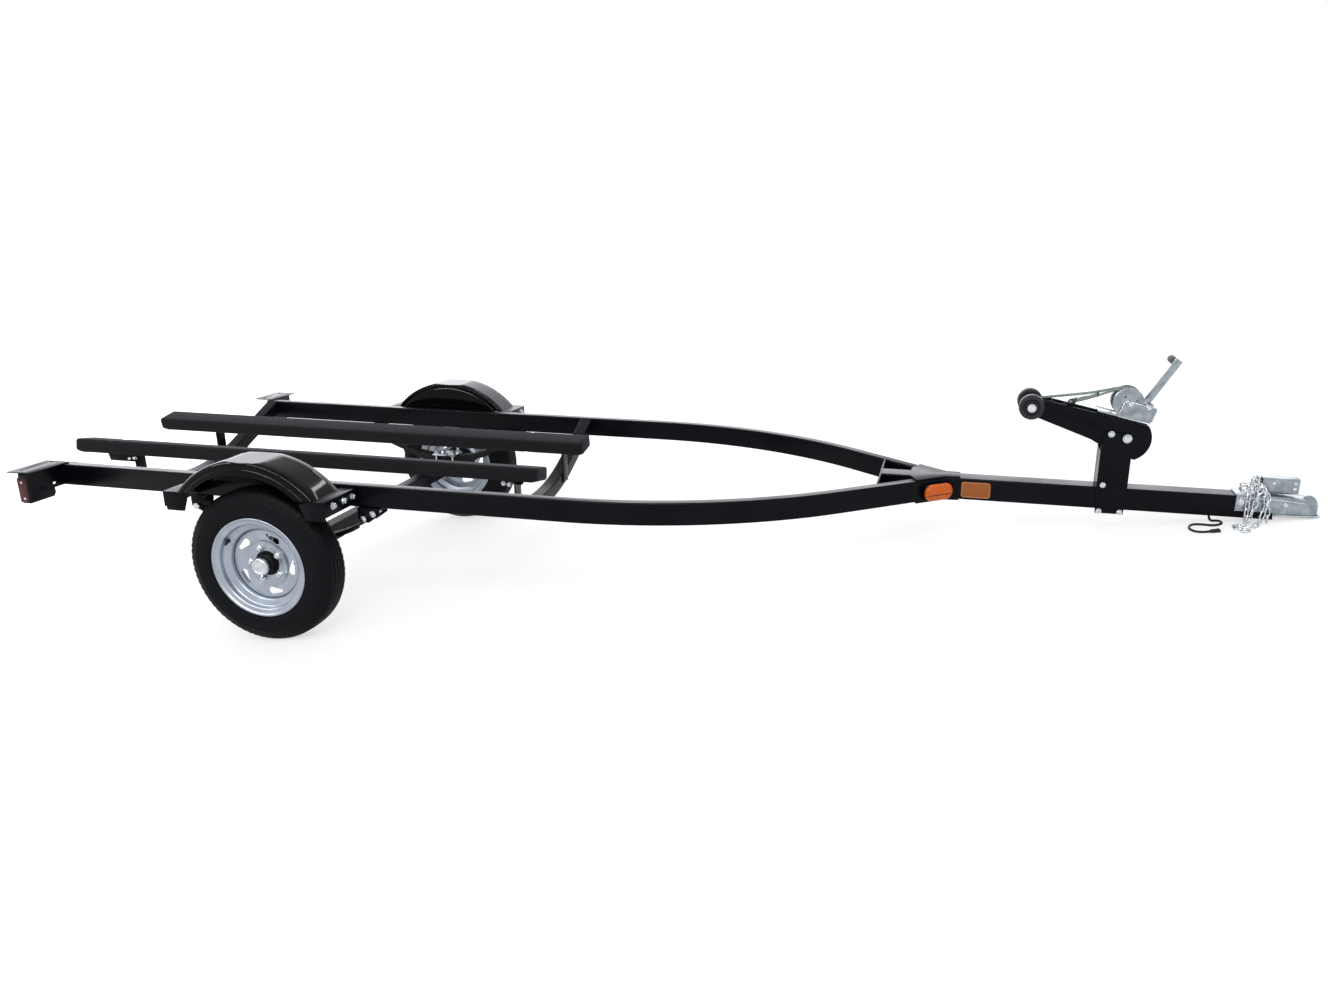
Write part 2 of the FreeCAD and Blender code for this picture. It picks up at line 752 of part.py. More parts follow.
# Winch stand
def winch_post():
    y = tongue_half + seat_gap
    half = post_depth / 2
    z0 = rail_top - tongue_width - post_drop
    z1 = head_pivot_z + 18
    outline = [(post_x - half + 4, z0), (post_x + half - 4, z0), (post_x + half, rail_top),
               (post_x + half, z1 - 30), (post_x + half - 24, z1), (post_x - half + 10, z1),
               (post_x - half, z1 - 30), (post_x - half, rail_top)]
    right = side_plate(outline, -y - post_wall, -y)
    left = side_plate(outline, y, y + post_wall)
    web = block(post_x - half, post_x - half + post_wall, -y, y, rail_top + seat_gap, z1 - 64)
    body = fused([right, left, web])
    bolts = []
    for bx, bz in ((head_pivot_x, head_pivot_z), (head_pivot_x - 52, head_pivot_z + 13)):
        bolts.append(rod(8.1, V(bx, -60, bz), V(bx, 60, bz)))
    for bx, bz in clamp_bolt_places():
        bolts.append(rod(clamp_bolt_radius + running_fit, V(bx, -60, bz), V(bx, 60, bz)))
    return body.cut(bolts[0].multiFuse(bolts[1:]))


def clamp_bolt_places():
    """Two bolts below the tongue and one above it clamp the post's sides to it."""
    below = rail_top - tongue_width - post_drop / 2
    above = rail_top + seat_gap + post_wall + clamp_bolt_radius
    return [(post_x - 34, below), (post_x + 34, below), (post_x - 30, above)]


def stand_bolts():
    y = tongue_half + seat_gap + post_wall + 0.1
    shapes = []
    places = [(head_pivot_x, head_pivot_z, 8.0, 13.0), (head_pivot_x - 52, head_pivot_z + 13, 8.0, 11.0)]
    for x, z, shank, head in places:
        shapes.append(fused([rod(shank, V(x, -y - 8, z), V(x, y + 8, z)),
                             rod(head, V(x, -y - 9, z), V(x, -y, z)),
                             rod(head, V(x, y, z), V(x, y + 9, z))]))
    for x, z in clamp_bolt_places():
        shapes.append(fused([rod(clamp_bolt_radius, V(x, -y - 6, z), V(x, y + 6, z)),
                             rod(9.0, V(x, -y - 7, z), V(x, -y, z)),
                             rod(9.0, V(x, y, z), V(x, y + 7, z))]))
    return Part.makeCompound(shapes)


def bow_arm():
    """Two side plates with a rounded head, joined by a web along the bottom."""
    y1 = tongue_half - 0.6
    y0 = y1 - arm_wall
    r = 30.0
    run = V(head_pivot_x - roller_x, 0, head_pivot_z - roller_z)
    run.normalize()
    up = V(-run.z, 0, run.x)
    tail_top = V(roller_x, 0, roller_z).add(up.multiply(r))
    run2 = V(head_pivot_x - roller_x, 0, head_pivot_z - roller_z).normalize()
    up2 = V(-run2.z, 0, run2.x)
    tail_low = V(roller_x, 0, roller_z).sub(V(up2.x * r, 0, up2.z * r))
    tail_end = V(roller_x - run2.x * r, 0, roller_z - run2.z * r)
    head_c = V(head_pivot_x, 0, head_pivot_z)

    def head_point(degrees):
        a = math.radians(degrees)
        return V(head_c.x + head_radius * math.cos(a), 0, head_c.z + head_radius * math.sin(a))

    top_right = head_point(36)
    low_left = V(post_x - post_depth / 2 - 34, 0, head_pivot_z - arm_heel_drop)
    low_head = head_point(-68)
    edges = [Part.Arc(tail_low, tail_end, tail_top).toShape(),
             Part.LineSegment(tail_top, top_right).toShape(),
             Part.Arc(top_right, head_point(-16), low_head).toShape(),
             Part.LineSegment(low_head, V(post_x - 20, 0, low_head.z + 26)).toShape(),
             Part.LineSegment(V(post_x - 20, 0, low_head.z + 26), low_left).toShape(),
             Part.LineSegment(low_left, tail_low).toShape()]
    face = Part.Face(Part.Wire(edges))
    plates = [face.translated(V(0, -y1, 0)).extrude(V(0, arm_wall, 0)),
              face.translated(V(0, y0, 0)).extrude(V(0, arm_wall, 0))]
    a = tail_low
    b = low_left
    along = b.sub(a)
    length = along.Length
    web = block(20, length - 4, -y1, y1, 0, arm_wall)
    web.rotate(V(0, 0, 0), V(0, 1, 0), math.degrees(math.atan2(-along.z, along.x)))
    web.translate(a)
    body = fused(plates + [web])
    holes = []
    for x, z, radius in ((roller_x, roller_z, roller_shaft_radius), (head_pivot_x, head_pivot_z, 8.0),
                         (head_pivot_x - 52, head_pivot_z + 13, 8.0)):
        holes.append(rod(radius + 0.1, V(x, -60, z), V(x, 60, z)))
    return body.cut(holes[0].multiFuse(holes[1:]))


def roller_shaft():
    reach = tongue_half + roller_width + 8
    shaft = rod(roller_shaft_radius, V(roller_x, -reach, roller_z), V(roller_x, reach, roller_z))
    heads = [rod(14.0, V(roller_x, side * reach, roller_z), V(roller_x, side * (reach + 6), roller_z))
             for side in (-1, 1)]
    return fused([shaft] + heads)


def bow_roller():
    inner = tongue_half + 3
    y0 = -inner - roller_width
    body = rod(roller_radius, V(roller_x, y0, roller_z), V(roller_x, -inner, roller_z))
    rims = [e for e in body.Edges if hasattr(e.Curve, "Radius")]
    body = body.makeChamfer(5.0, rims)
    return body.cut(rod(roller_shaft_radius + running_fit, V(roller_x, -100, roller_z),
                        V(roller_x, 0, roller_z)))


def winch_corner(along, up):
    """A point of the winch's side plate, from its lower rear corner."""
    tilt = math.radians(winch_tilt)
    return (winch_x - 30 + along * math.cos(tilt) + up * math.sin(tilt),
            winch_z - 45.5 - along * math.sin(tilt) + up * math.cos(tilt))


def winch_frame():
    w = winch_frame_half_width
    t = winch_frame_wall
    n = winch_plate_length
    h = winch_plate_height
    f = winch_foot_length
    c = winch_corner
    outline = [c(-f, 0), c(n - 8, 0), c(n, 8), c(n + 2, h - 6), c(n - 4, h), c(10, h), c(5, h - 8),
               c(-2, t + 2), c(-f, t + 2)]
    plates = [side_plate(outline, -w - t, -w), side_plate(outline, w, w + t)]
    front_base = side_plate([c(50, 0), c(n - 8, 0), c(n - 8, t), c(50, t)], -w, w)
    rear_base = side_plate([c(-f, 0), c(-16, 0), c(-16, t), c(-f, t)], -w, w)
    body = fused(plates + [front_base, rear_base])
    holes = [rod(8.1, V(winch_x, -60, winch_z), V(winch_x, 60, winch_z)),
             rod(8.1, V(crank_shaft_x, -60, crank_shaft_z), V(crank_shaft_x, 60, crank_shaft_z))]
    return body.cut(holes[0].fuse(holes[1]))


def winch_drum():
    w = winch_frame_half_width - 2
    t = drum_flange_thickness
    shaft = rod(8.0, V(winch_x, -w - 11, winch_z), V(winch_x, w + 11, winch_z))
    core = rod(drum_radius, V(winch_x, -w, winch_z), V(winch_x, w, winch_z))
    flanges = [rod(drum_flange_radius, V(winch_x, -w, winch_z), V(winch_x, -w + t, winch_z)),
               rod(drum_flange_radius, V(winch_x, w - t, winch_z), V(winch_x, w, winch_z))]
    return fused([shaft, core] + flanges)


def winch_crank():
    y = winch_frame_half_width + winch_frame_wall + 6
    run = V(crank_tip_x - crank_shaft_x, 0, crank_tip_z - crank_shaft_z)
    length = run.Length
    arm = block(-14, length + 14, y, y + 5, -12.5, 12.5)
    arm.rotate(V(0, 0, 0), V(0, 1, 0), -math.degrees(math.atan2(run.z, run.x)))
    arm.translate(V(crank_shaft_x, 0, crank_shaft_z))
    shaft = rod(8.0, V(crank_shaft_x, -w_reach(), crank_shaft_z), V(crank_shaft_x, y + 12, crank_shaft_z))
    pin = rod(5.0, V(crank_tip_x, y, crank_tip_z), V(crank_tip_x, y + grip_length, crank_tip_z))
    return fused([arm, shaft, pin])


def w_reach():
    return winch_frame_half_width + winch_frame_wall + 6


def winch_grip():
    y = winch_frame_half_width + winch_frame_wall + 6 + 5 + seat_gap
    body = rod(grip_radius, V(crank_tip_x, y, crank_tip_z), V(crank_tip_x, y + grip_length, crank_tip_z))
    bore = rod(5.0 + running_fit, V(crank_tip_x, y - 1, crank_tip_z),
               V(crank_tip_x, y + grip_length - 4, crank_tip_z))
    return body.cut(bore)


def winch_rope():
    """Taut rope from the top of the drum to the hook on the roller shaft."""
    wound = drum_radius + winding_depth + rope_radius + seat_gap
    end = V(roller_x + 34, 0, roller_z + 24)
    run = math.hypot(winch_x - end.x, winch_z - end.z)
    slope = math.atan2(winch_z - end.z, winch_x - end.x) + math.asin(wound / run)
    reach = math.sqrt(run ** 2 - wound ** 2)
    start = V(end.x + reach * math.cos(slope), 0, end.z + reach * math.sin(slope))
    return rod(rope_radius, start, end)


def rope_winding():
    """The wound rope on the drum, as one sleeve."""
    w = winch_frame_half_width - 2 - drum_flange_thickness - seat_gap
    outer = rod(drum_radius + winding_depth, V(winch_x, -w, winch_z), V(winch_x, w, winch_z))
    inner = rod(drum_radius + seat_gap, V(winch_x, -w - 1, winch_z), V(winch_x, w + 1, winch_z))
    return outer.cut(inner)


# Coupler
def coupler_outline(half_width, nose):
    return [(coupler_rear_x, -half_width), (coupler_taper_x, -half_width), (coupler_taper_x + 40, -nose),
            (ball_x, -nose), (ball_x, nose), (coupler_taper_x + 40, nose), (coupler_taper_x, half_width),
            (coupler_rear_x, half_width)]


def coupler_body():
    """Pressed channel over the tongue, narrowing to the domed ball socket, with an outward lip."""
    t = coupler_wall
    y = tongue_half + seat_gap + t
    top = rail_top + seat_gap + t
    nose = nose_half_width
    roof_z = dome_z + 20.0
    outer = level_plate(coupler_outline(y, nose), lip_bottom, top)
    inner = level_plate(coupler_outline(y - t, nose - t), lip_bottom - 1, top - t)
    inner = inner.fuse(block(coupler_rear_x - 1, tongue_front_x + 1, -y + t, y - t, lip_bottom - 40, top - t))
    slope = side_plate([(coupler_taper_x + 10, top + 1), (coupler_tip_x, top + 1), (coupler_tip_x, roof_z),
                        (ball_x, roof_z)], -80, 80)
    slope_inside = side_plate([(coupler_taper_x + 10, top - t), (coupler_tip_x, top),
                               (coupler_tip_x, roof_z - t), (ball_x, roof_z - t)], -80, 80)
    shell = outer.cut(slope).cut(inner.cut(slope_inside))
    ball = V(ball_x, 0, dome_z)
    foot = V(ball_x, 0, lip_bottom)
    dome = Part.makeSphere(dome_radius, ball)
    collar = rod(nose, foot, ball)
    front = coupler_tip_x - 6
    lip = level_plate([(coupler_taper_x - 14, -y - lip_width), (ball_x + 8, -nose - lip_width),
                       (front, -30), (coupler_tip_x, -16), (coupler_tip_x, 16), (front, 30),
                       (ball_x + 8, nose + lip_width), (coupler_taper_x - 14, y + lip_width)],
                      lip_bottom, lip_bottom + t)
    body = fused([shell, dome, collar, lip])
    bore = ball_radius + ball_play
    socket = Part.makeSphere(bore, ball)
    mouth = rod(bore, V(ball_x, 0, lip_bottom - 5), ball)
    throat = level_plate([(tongue_front_x + 1, -y + t), (coupler_taper_x, -y + t),
                          (coupler_taper_x + 40, -nose + t), (ball_x - dome_radius, -nose + t),
                          (ball_x - dome_radius, nose - t), (coupler_taper_x + 40, nose - t),
                          (coupler_taper_x, y - t), (tongue_front_x + 1, y - t)],
                         lip_bottom - 2, lip_bottom + 2 * t)
    body = body.cut(socket.multiFuse([mouth, throat]))
    side_trim = block(coupler_rear_x - 5, coupler_taper_x - 18, -80, 80, lip_bottom - 1, coupler_side_bottom)
    return body.cut(side_trim)


def coupler_latch():
    t = 3.0
    w = latch_half_width
    low = rail_top + seat_gap + coupler_wall + seat_gap
    outline = [(latch_rear_x, low), (latch_front_x, low + 8),
               (latch_front_x, latch_top), (latch_rear_x, latch_top)]
    solid = side_plate(outline, -w, w)
    room = side_plate([(latch_rear_x - 1, low - 1), (latch_front_x + 1, low - 1),
                       (latch_front_x + 1, latch_top - t), (latch_rear_x - 1, latch_top - t)], -w + t, w - t)
    return solid.cut(room)


# Safety chains
def link_loop(centre, along, side, inside_length, inside_width, wire):
    """One link: a loop of flat-sided wire through eight mitred corners."""
    half_l = inside_length / 2 + wire
    half_w = inside_width / 2 + wire
    c = half_w * 0.58
    flat = [(half_l - c, half_w), (half_l, half_w - c), (half_l, -half_w + c), (half_l - c, -half_w),
            (-half_l + c, -half_w), (-half_l, -half_w + c), (-half_l, half_w - c), (-half_l + c, half_w)]
    normal = along.cross(side)
    points = []
    for a, b in flat:
        points.append(V(centre.x + along.x * a + side.x * b, centre.y + along.y * a + side.y * b,
                        centre.z + along.z * a + side.z * b))
    rings = []
    count = len(points)
    for k in range(count):
        back = points[k].sub(points[k - 1]).normalize()
        ahead = points[(k + 1) % count].sub(points[k]).normalize()
        out = back.sub(ahead).normalize()
        stretch = 1.0 / out.dot(back.cross(normal)) if abs(out.dot(back.cross(normal))) > 0.1 else 1.0
        ring = []
        for n in range(6):
            turn = math.radians(60 * n)
            a = wire * math.cos(turn) * abs(stretch)
            b = wire * math.sin(turn)
            ring.append(V(points[k].x + out.x * a + normal.x * b, points[k].y + out.y * a + normal.y * b,
                          points[k].z + out.z * a + normal.z * b))
        rings.append(ring)
    faces = []
    for k in range(count):
        this = rings[k]
        following = rings[(k + 1) % count]
        for n in range(6):
            m = (n + 1) % 6
            faces.append(polygon_face([this[n], this[m], following[m], following[n]]))
    solid = Part.Solid(Part.Shell(faces))
    if solid.Volume < 0:
        solid.reverse()
    return solid


def chain(route, reference):
    """Links laid end to end along a route of straight runs, each turned a quarter from the last."""
    pitch = link_inside_length - 1.5 * seat_gap
    lengths = [route[k + 1].sub(route[k]).Length for k in range(len(route) - 1)]
    total = sum(lengths)

    def at(distance):
        d = min(max(distance, 0.0), total)
        for k, length in enumerate(lengths):
            if d <= length or k == len(lengths) - 1:
                step = route[k + 1].sub(route[k])
                return route[k].add(V(step.x, step.y, step.z).multiply(d / length))
            d -= length
        return route[-1]

    def next_joint(start):
        """Distance along the route at which a link from start ends."""
        low = start + pitch
        high = start + 2 * pitch
        for _ in range(40):
            middle = (low + high) / 2
            if at(middle).sub(at(start)).Length < pitch:
                low = middle
            else:
                high = middle
        return high

    joints = [0.0]
    while joints[-1] + pitch < total:
        joints.append(next_joint(joints[-1]))
    if joints[-1] >= total:
        joints.pop()
    links = []
    for k in range(len(joints) - 1):
        a = at(joints[k])
        b = at(joints[k + 1])
        along = b.sub(a).normalize()
        centre = V((a.x + b.x) / 2, (a.y + b.y) / 2, (a.z + b.z) / 2)
        level = along.cross(reference)
        side = along.cross(level).normalize()
        reference = V(side.x, side.y, side.z)
        if k % 2:
            side = along.cross(side).normalize()
        links.append(link_loop(centre, along, side, link_inside_length, link_inside_width, link_wire))
    return Part.makeCompound(links)


def floor_z(x):
    """Height of the floor below the level trailer, once it is tipped on its coupler."""
    lean = lean_angle()
    return x * math.tan(lean) - tyre_radius / math.cos(lean)


def draped_route(side, lift):
    """From the bolt beside the tongue's end, over the coupler behind its latch and down to the floor."""
    y = tongue_half + seat_gap + coupler_wall + chain_clearance
    top = rail_top + coupler_wall + chain_clearance + lift
    bolt_x = tongue_front_x - chain_bolt_back
    x = tongue_front_x - chain_cross_back
    low = rail_bottom + 8
    end_x = x - 22
    corners = [V(bolt_x, side * y, low), V(x + 36, side * y, top - 6), V(x + 9, side * 20, top + 10),
               V(x - 9, -side * 20, top + 10), V(x - 36, -side * y, top - 6),
               V(end_x, -side * y, floor_z(end_x) + 13)]
    return rounded_route(corners, 26.0)


def rounded_route(corners, cut):
    """The route with each corner replaced by short runs along a curve through it."""
    points = [corners[0]]
    for k in range(1, len(corners) - 1):
        back = corners[k - 1].sub(corners[k])
        ahead = corners[k + 1].sub(corners[k])
        reach = min(cut, 0.49 * back.Length, 0.49 * ahead.Length)
        start = corners[k].add(back.normalize().multiply(reach))
        end = corners[k].add(ahead.normalize().multiply(reach))
        for n in range(9):
            t = n / 8
            points.append(V(start.x * (1 - t) ** 2 + corners[k].x * 2 * t * (1 - t) + end.x * t ** 2,
                            start.y * (1 - t) ** 2 + corners[k].y * 2 * t * (1 - t) + end.y * t ** 2,
                            start.z * (1 - t) ** 2 + corners[k].z * 2 * t * (1 - t) + end.z * t ** 2))
    return points + [corners[-1]]


# Wiring lead
def lead_route():
    """Down from the tongue's underside and in two loose loops on the floor, towards the right side."""
    exit_x = tongue_front_x - lead_exit_back
    lay = [(exit_x, lead_exit_y), (exit_x + 34, -10), (exit_x + 40, -46), (exit_x + 10, -66), (exit_x - 24, -44),
           (exit_x - 54, -36), (exit_x - 72, -66), (exit_x - 68, -104), (exit_x - 44, -128),
           (exit_x - 16, -124)]
    rise = (lead_radius + lead_floor_gap) / math.cos(lean_angle())
    return [V(exit_x, lead_exit_y, rail_bottom)] + [V(x, y, floor_z(x) + rise) for x, y in lay]


def cord_tube(points, radius):
    """Straight runs joined by tangent arcs, each as large as its two runs allow."""
    pieces = []
    start = points[0]
    length = 0.0
    for k in range(1, len(points) - 1):
        before = points[k] - points[k - 1]
        after = points[k + 1] - points[k]
        share = 0.45 * min(before.Length, after.Length)
        before.normalize()
        after.normalize()
        turn = before.getAngle(after)
        arc_radius = share / math.tan(turn / 2)
        arc_start = points[k] - before * share
        axis = before.cross(after)
        axis.normalize()
        centre = arc_start + axis.cross(before) * arc_radius
        section = Part.Face(Part.Wire(Part.makeCircle(radius, arc_start, before)))
        pieces.append(rod(radius, start, arc_start))
        pieces.append(section.revolve(centre, axis, math.degrees(turn)))
        length += (arc_start - start).Length + arc_radius * turn
        start = points[k] + after * share
        print("lead bend radius", round(arc_radius, 1))
    pieces.append(rod(radius, start, points[-1]))
    length += (points[-1] - start).Length
    tube = fused(pieces)
    print("lead length", round(length, 1), "volume share", tube.Volume / (math.pi * radius ** 2 * length))
    return tube


def lead_grommet():
    """Rubber ring in the tongue's underside, round the lead."""
    exit_point = lead_route()[0]
    foot = exit_point - V(0, 0, grommet_height)
    ring = rod(grommet_radius, foot, exit_point)
    ring = ring.makeChamfer(1.5, [e for e in ring.Edges if abs(e.CenterOfMass.z - foot.z) < 0.1])
    return ring.cut(rod(lead_radius + 0.1, foot - V(0, 0, 1), exit_point + V(0, 0, 1)))


def lead_plug():
    """Flat four-way plug that lies on the floor at the lead's end, with a tapered neck."""
    route = lead_route()
    end = route[-1]
    run = end - route[-2]
    half = plug_width / 2
    rise = -lead_radius
    body = block(5, plug_length, -half, half, rise, rise + plug_height)
    body = body.makeFillet(1.2, [e for e in body.Edges if abs(e.tangentAt(e.FirstParameter).x) > 0.9])
    neck = Part.makeLoft([level_section(0, lead_radius + 1.0, rise, 2 * lead_radius),
                          level_section(5, half - 2, rise, plug_height - 1.5)], True)
    plug = fused([body, neck])
    plug.rotate(V(0, 0, 0), V(0, 0, 1), math.degrees(math.atan2(run.y, run.x / math.cos(lean_angle()))))
    plug.rotate(V(0, 0, 0), V(0, 1, 0), -math.degrees(lean_angle()))
    return plug.translated(end)


def level_section(x, half, z, height):
    """Upright rectangle across X, for the plug's neck."""
    corners = [V(x, -half, z), V(x, half, z), V(x, half, z + height), V(x, -half, z + height)]
    return Part.makePolygon(corners + corners[:1])


# Side lamps
def side_marker():
    """Oval lamp that overhangs its base towards the tongue, drawn from the rail's meeting point."""
    h = marker_height / 2
    z = marker_z
    base = block(-marker_base_length - 3, -3, -marker_base_depth, -seat_gap, z - h + 2, z + h - 2)
    r = h
    x1 = marker_overhang - r
    x0 = marker_overhang - marker_length + r
    y0 = -marker_depth
    y1 = -marker_base_depth
    lens = fused([block(x0, x1, y0, y1, z - r, z + r), rod(r, V(x0, y0, z), V(x0, y1, z)),
                  rod(r, V(x1, y0, z), V(x1, y1, z))])
    rims = [e for e in lens.Edges if abs(e.CenterOfMass.y - y0) < 0.1]
    return base, lens.makeChamfer(4.0, rims)


def place_on_rail_end(shape):
    shape.rotate(V(0, 0, 0), V(0, 0, 1), rail_bend_angle)
    shape.translate(V(meet_x, -tongue_half, 0))
    return shape


def reflector():
    x = meet_x + reflector_gap
    z = rail_top - rail_height / 2
    y = -tongue_half - seat_gap
    body = block(x, x + reflector_length, y - reflector_depth, y,
                 z - reflector_height / 2, z + reflector_height / 2)
    edges = [e for e in body.Edges if abs(e.Vertexes[0].Y - e.Vertexes[1].Y) > 1]
    return body.makeFillet(9.0, edges)


def build():
    both_sides("side_rail", side_rail())
    nodes["tongue_tube"] = tongue_tube()
    nodes["junction_plate"] = junction_plate()
    nodes["top_gusset"] = gusset(rail_top)
    nodes["bottom_gusset"] = gusset(rail_bottom - gusset_thickness)
    nodes["front_cross_member"] = cross_member(front_member_x)
    nodes["rear_cross_member"] = cross_member(rear_member_x)
    both_sides("tyre", tyre())
    both_sides("wheel_rim", wheel())
    both_sides("hub", hub())
    both_sides("lug_nuts", lug_nuts())
    nodes["axle"] = axle()
    both_sides("leaf_spring", leaf_spring())
    front_hanger, front_bolts = spring_hanger(spring_eye_x, front_hanger_reach)
    rear_hanger, rear_bolts = spring_hanger(-spring_eye_x, rear_hanger_reach)
    both_sides("spring_hangers", Part.makeCompound([front_hanger, rear_hanger]))
    both_sides("spring_bolts", Part.makeCompound(front_bolts + rear_bolts))
    both_sides("axle_clamp", axle_clamp())
    both_sides("fender", fender())
    both_sides("fender_brackets", Part.makeCompound([fender_bracket(1), fender_bracket(-1)]))
    both_sides("bunk", bunk())
    front_shelf = bunk_bracket(front_member_x, 1, front_pad_length, 20.0)
    rear_shelf = bunk_bracket(rear_member_x, -1, rear_pad_length, rear_web_height)
    both_sides("bunk_brackets", Part.makeCompound([front_shelf, rear_shelf]))
    both_sides("tail_bracket", tail_bracket())
    both_sides("tail_lamp", tail_lamp())
    nodes["winch_post"] = winch_post()
    nodes["stand_bolts"] = stand_bolts()
    nodes["bow_arm"] = bow_arm()
    nodes["roller_shaft"] = roller_shaft()
    both_sides("bow_roller", bow_roller())
    nodes["winch_frame"] = winch_frame()
    nodes["winch_drum"] = winch_drum()
    nodes["winch_crank"] = winch_crank()
    nodes["winch_grip"] = winch_grip()
    nodes["rope_winding"] = rope_winding()
    nodes["winch_rope"] = winch_rope()
    nodes["coupler_body"] = coupler_body()
    nodes["coupler_latch"] = coupler_latch()
    nodes["wiring_lead"] = cord_tube(lead_route(), lead_radius)
    nodes["wiring_grommet"] = lead_grommet()
    nodes["wiring_plug"] = lead_plug()
    base, lens = side_marker()
    both_sides("marker_base", place_on_rail_end(base))
    both_sides("marker_lens", place_on_rail_end(lens))
    nodes["side_reflectors"] = Part.makeCompound([reflector(), mirrored(reflector())])
    nodes["safety_chains"] = Part.makeCompound([chain(draped_route(-1, 0.0), V(1, 0, 0)),
                                                chain(draped_route(1, chain_cross_lift), V(1, 0, 0))])


def lean_angle():
    """Angle that brings the coupler's lip, or the tongue's end, down to the floor."""
    angles = []
    for x, z in ((coupler_tip_x, lip_bottom), (tongue_front_x, rail_bottom)):
        reach = math.hypot(x, z)
        angles.append(math.atan2(z, x) + math.asin(tyre_radius / reach))
    return min(angles)


def save_all():
    lean = lean_angle()
    tip = FreeCAD.Placement(V(0, 0, 0), FreeCAD.Rotation(V(0, 1, 0), math.degrees(lean)))
    placed = {}
    box = FreeCAD.BoundBox()
    for name, shape in nodes.items():
        copy = shape.transformed(tip.toMatrix(), True)
        placed[name] = copy
        box.add(copy.BoundBox)
    centre = V(-(box.XMin + box.XMax) / 2, 0, tyre_radius)
    print("lean", math.degrees(lean), "shift", centre, "size", box.XLength, box.YLength, box.ZLength)
    for name, shape in placed.items():
        shape.translate(centre)
        if not shape.isValid():
            print("not valid:", name)
        shape.exportStep("parts/" + name + ".step")


build()
save_all()
print(len(nodes), "nodes")
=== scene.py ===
import bmesh
import bpy
import math
import random
from mathutils import Matrix, Vector


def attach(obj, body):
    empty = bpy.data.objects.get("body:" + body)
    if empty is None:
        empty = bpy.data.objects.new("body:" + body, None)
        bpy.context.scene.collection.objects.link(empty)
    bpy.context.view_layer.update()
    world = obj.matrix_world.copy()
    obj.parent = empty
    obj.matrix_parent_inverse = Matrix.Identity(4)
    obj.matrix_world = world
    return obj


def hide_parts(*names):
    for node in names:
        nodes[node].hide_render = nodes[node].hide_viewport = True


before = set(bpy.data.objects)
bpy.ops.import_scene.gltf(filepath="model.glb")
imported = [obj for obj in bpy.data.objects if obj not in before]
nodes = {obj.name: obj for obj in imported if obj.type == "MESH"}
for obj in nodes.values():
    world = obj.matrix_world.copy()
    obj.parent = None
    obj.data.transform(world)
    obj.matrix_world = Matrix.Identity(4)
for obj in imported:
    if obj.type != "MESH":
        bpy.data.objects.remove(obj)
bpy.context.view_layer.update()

scene = bpy.context.scene
sides = {"right": -1, "left": 1}

# The trailer is drawn level, in millimetres from the middle of its axle, then tipped onto its coupler
stance = {"lean": math.radians(7.843425751236283), "x": -1.1784410350664225, "axleHeight": 268.0}
leanTurn = Matrix.Rotation(stance["lean"], 4, "Y")
toFrame = (Matrix.Translation((stance["x"], 0, stance["axleHeight"] / 1000)) @ leanTurn
           @ Matrix.Scale(0.001, 4))


def onFrame(x, y, z):
    return toFrame @ Vector((x, y, z))


def floorUnder(x):
    # Height of the floor in the level trailer's millimetres
    return x * math.tan(stance["lean"]) - stance["axleHeight"] / math.cos(stance["lean"])


# Camera, at the angle of the photograph; the numbers are the level trailer's
view = {"place": (2244.799, -3620.65, 1232.807), "yaw": 0.210, "pitch": 0.309, "roll": 0.008,
        "focal": 1036.909, "centre": (735.792, 516.992), "frame": (1328, 996), "sensor": 36, "reach": 100}


def makeCamera():
    ahead = Vector((-math.sin(view["yaw"]), math.cos(view["yaw"]), 0))
    right = Vector((math.cos(view["yaw"]), math.sin(view["yaw"]), 0))
    up = Vector((0, 0, 1))
    look = ahead * math.cos(view["pitch"]) - up * math.sin(view["pitch"])
    top = up * math.cos(view["pitch"]) + ahead * math.sin(view["pitch"])
    across = right * math.cos(view["roll"]) + top * math.sin(view["roll"])
    top = top * math.cos(view["roll"]) - right * math.sin(view["roll"])
    turn = leanTurn.to_3x3() @ Matrix((across, top, -look)).transposed()
    data = bpy.data.cameras.new("trailerCamera")
    camera = bpy.data.objects.new("trailerCamera", data)
    scene.collection.objects.link(camera)
    camera.matrix_world = Matrix.Translation(onFrame(*view["place"])) @ turn.to_4x4()
    width, height = view["frame"]
    data.sensor_width = view["sensor"]
    data.lens = view["focal"] * view["sensor"] / width
    data.shift_x = -(view["centre"][0] - width / 2) / width
    data.shift_y = (view["centre"][1] - height / 2) / width
    data.clip_end = view["reach"]
    scene.camera = camera


makeCamera()
scene.view_settings.view_transform = "Standard"
print("camera placed")


# Materials
def hexColour(code):
    channels = []
    for k in (1, 3, 5):
        c = int(code[k:k + 2], 16) / 255
        channels.append(c / 12.92 if c <= 0.04045 else ((c + 0.055) / 1.055) ** 2.4)
    return (*channels, 1)


def perMetre(millimetres):
    return 1000 / millimetres  # how many cells of that size fit in a metre of object space


def addNode(tree, kind, values=None, links=None, **settings):
    node = tree.nodes.new(kind)
    for key, value in settings.items():
        setattr(node, key, value)
    for key, value in (values or {}).items():
        node.inputs[key].default_value = value
    for key, source in (links or {}).items():
        tree.links.new(source, node.inputs[key])
    return node


def maths(tree, operation, first, second):
    # first is a socket, second a number or a socket
    linked = isinstance(second, bpy.types.NodeSocket)
    return addNode(tree, "ShaderNodeMath", None if linked else {1: second},
                   {0: first, 1: second} if linked else {0: first}, operation=operation).outputs[0]


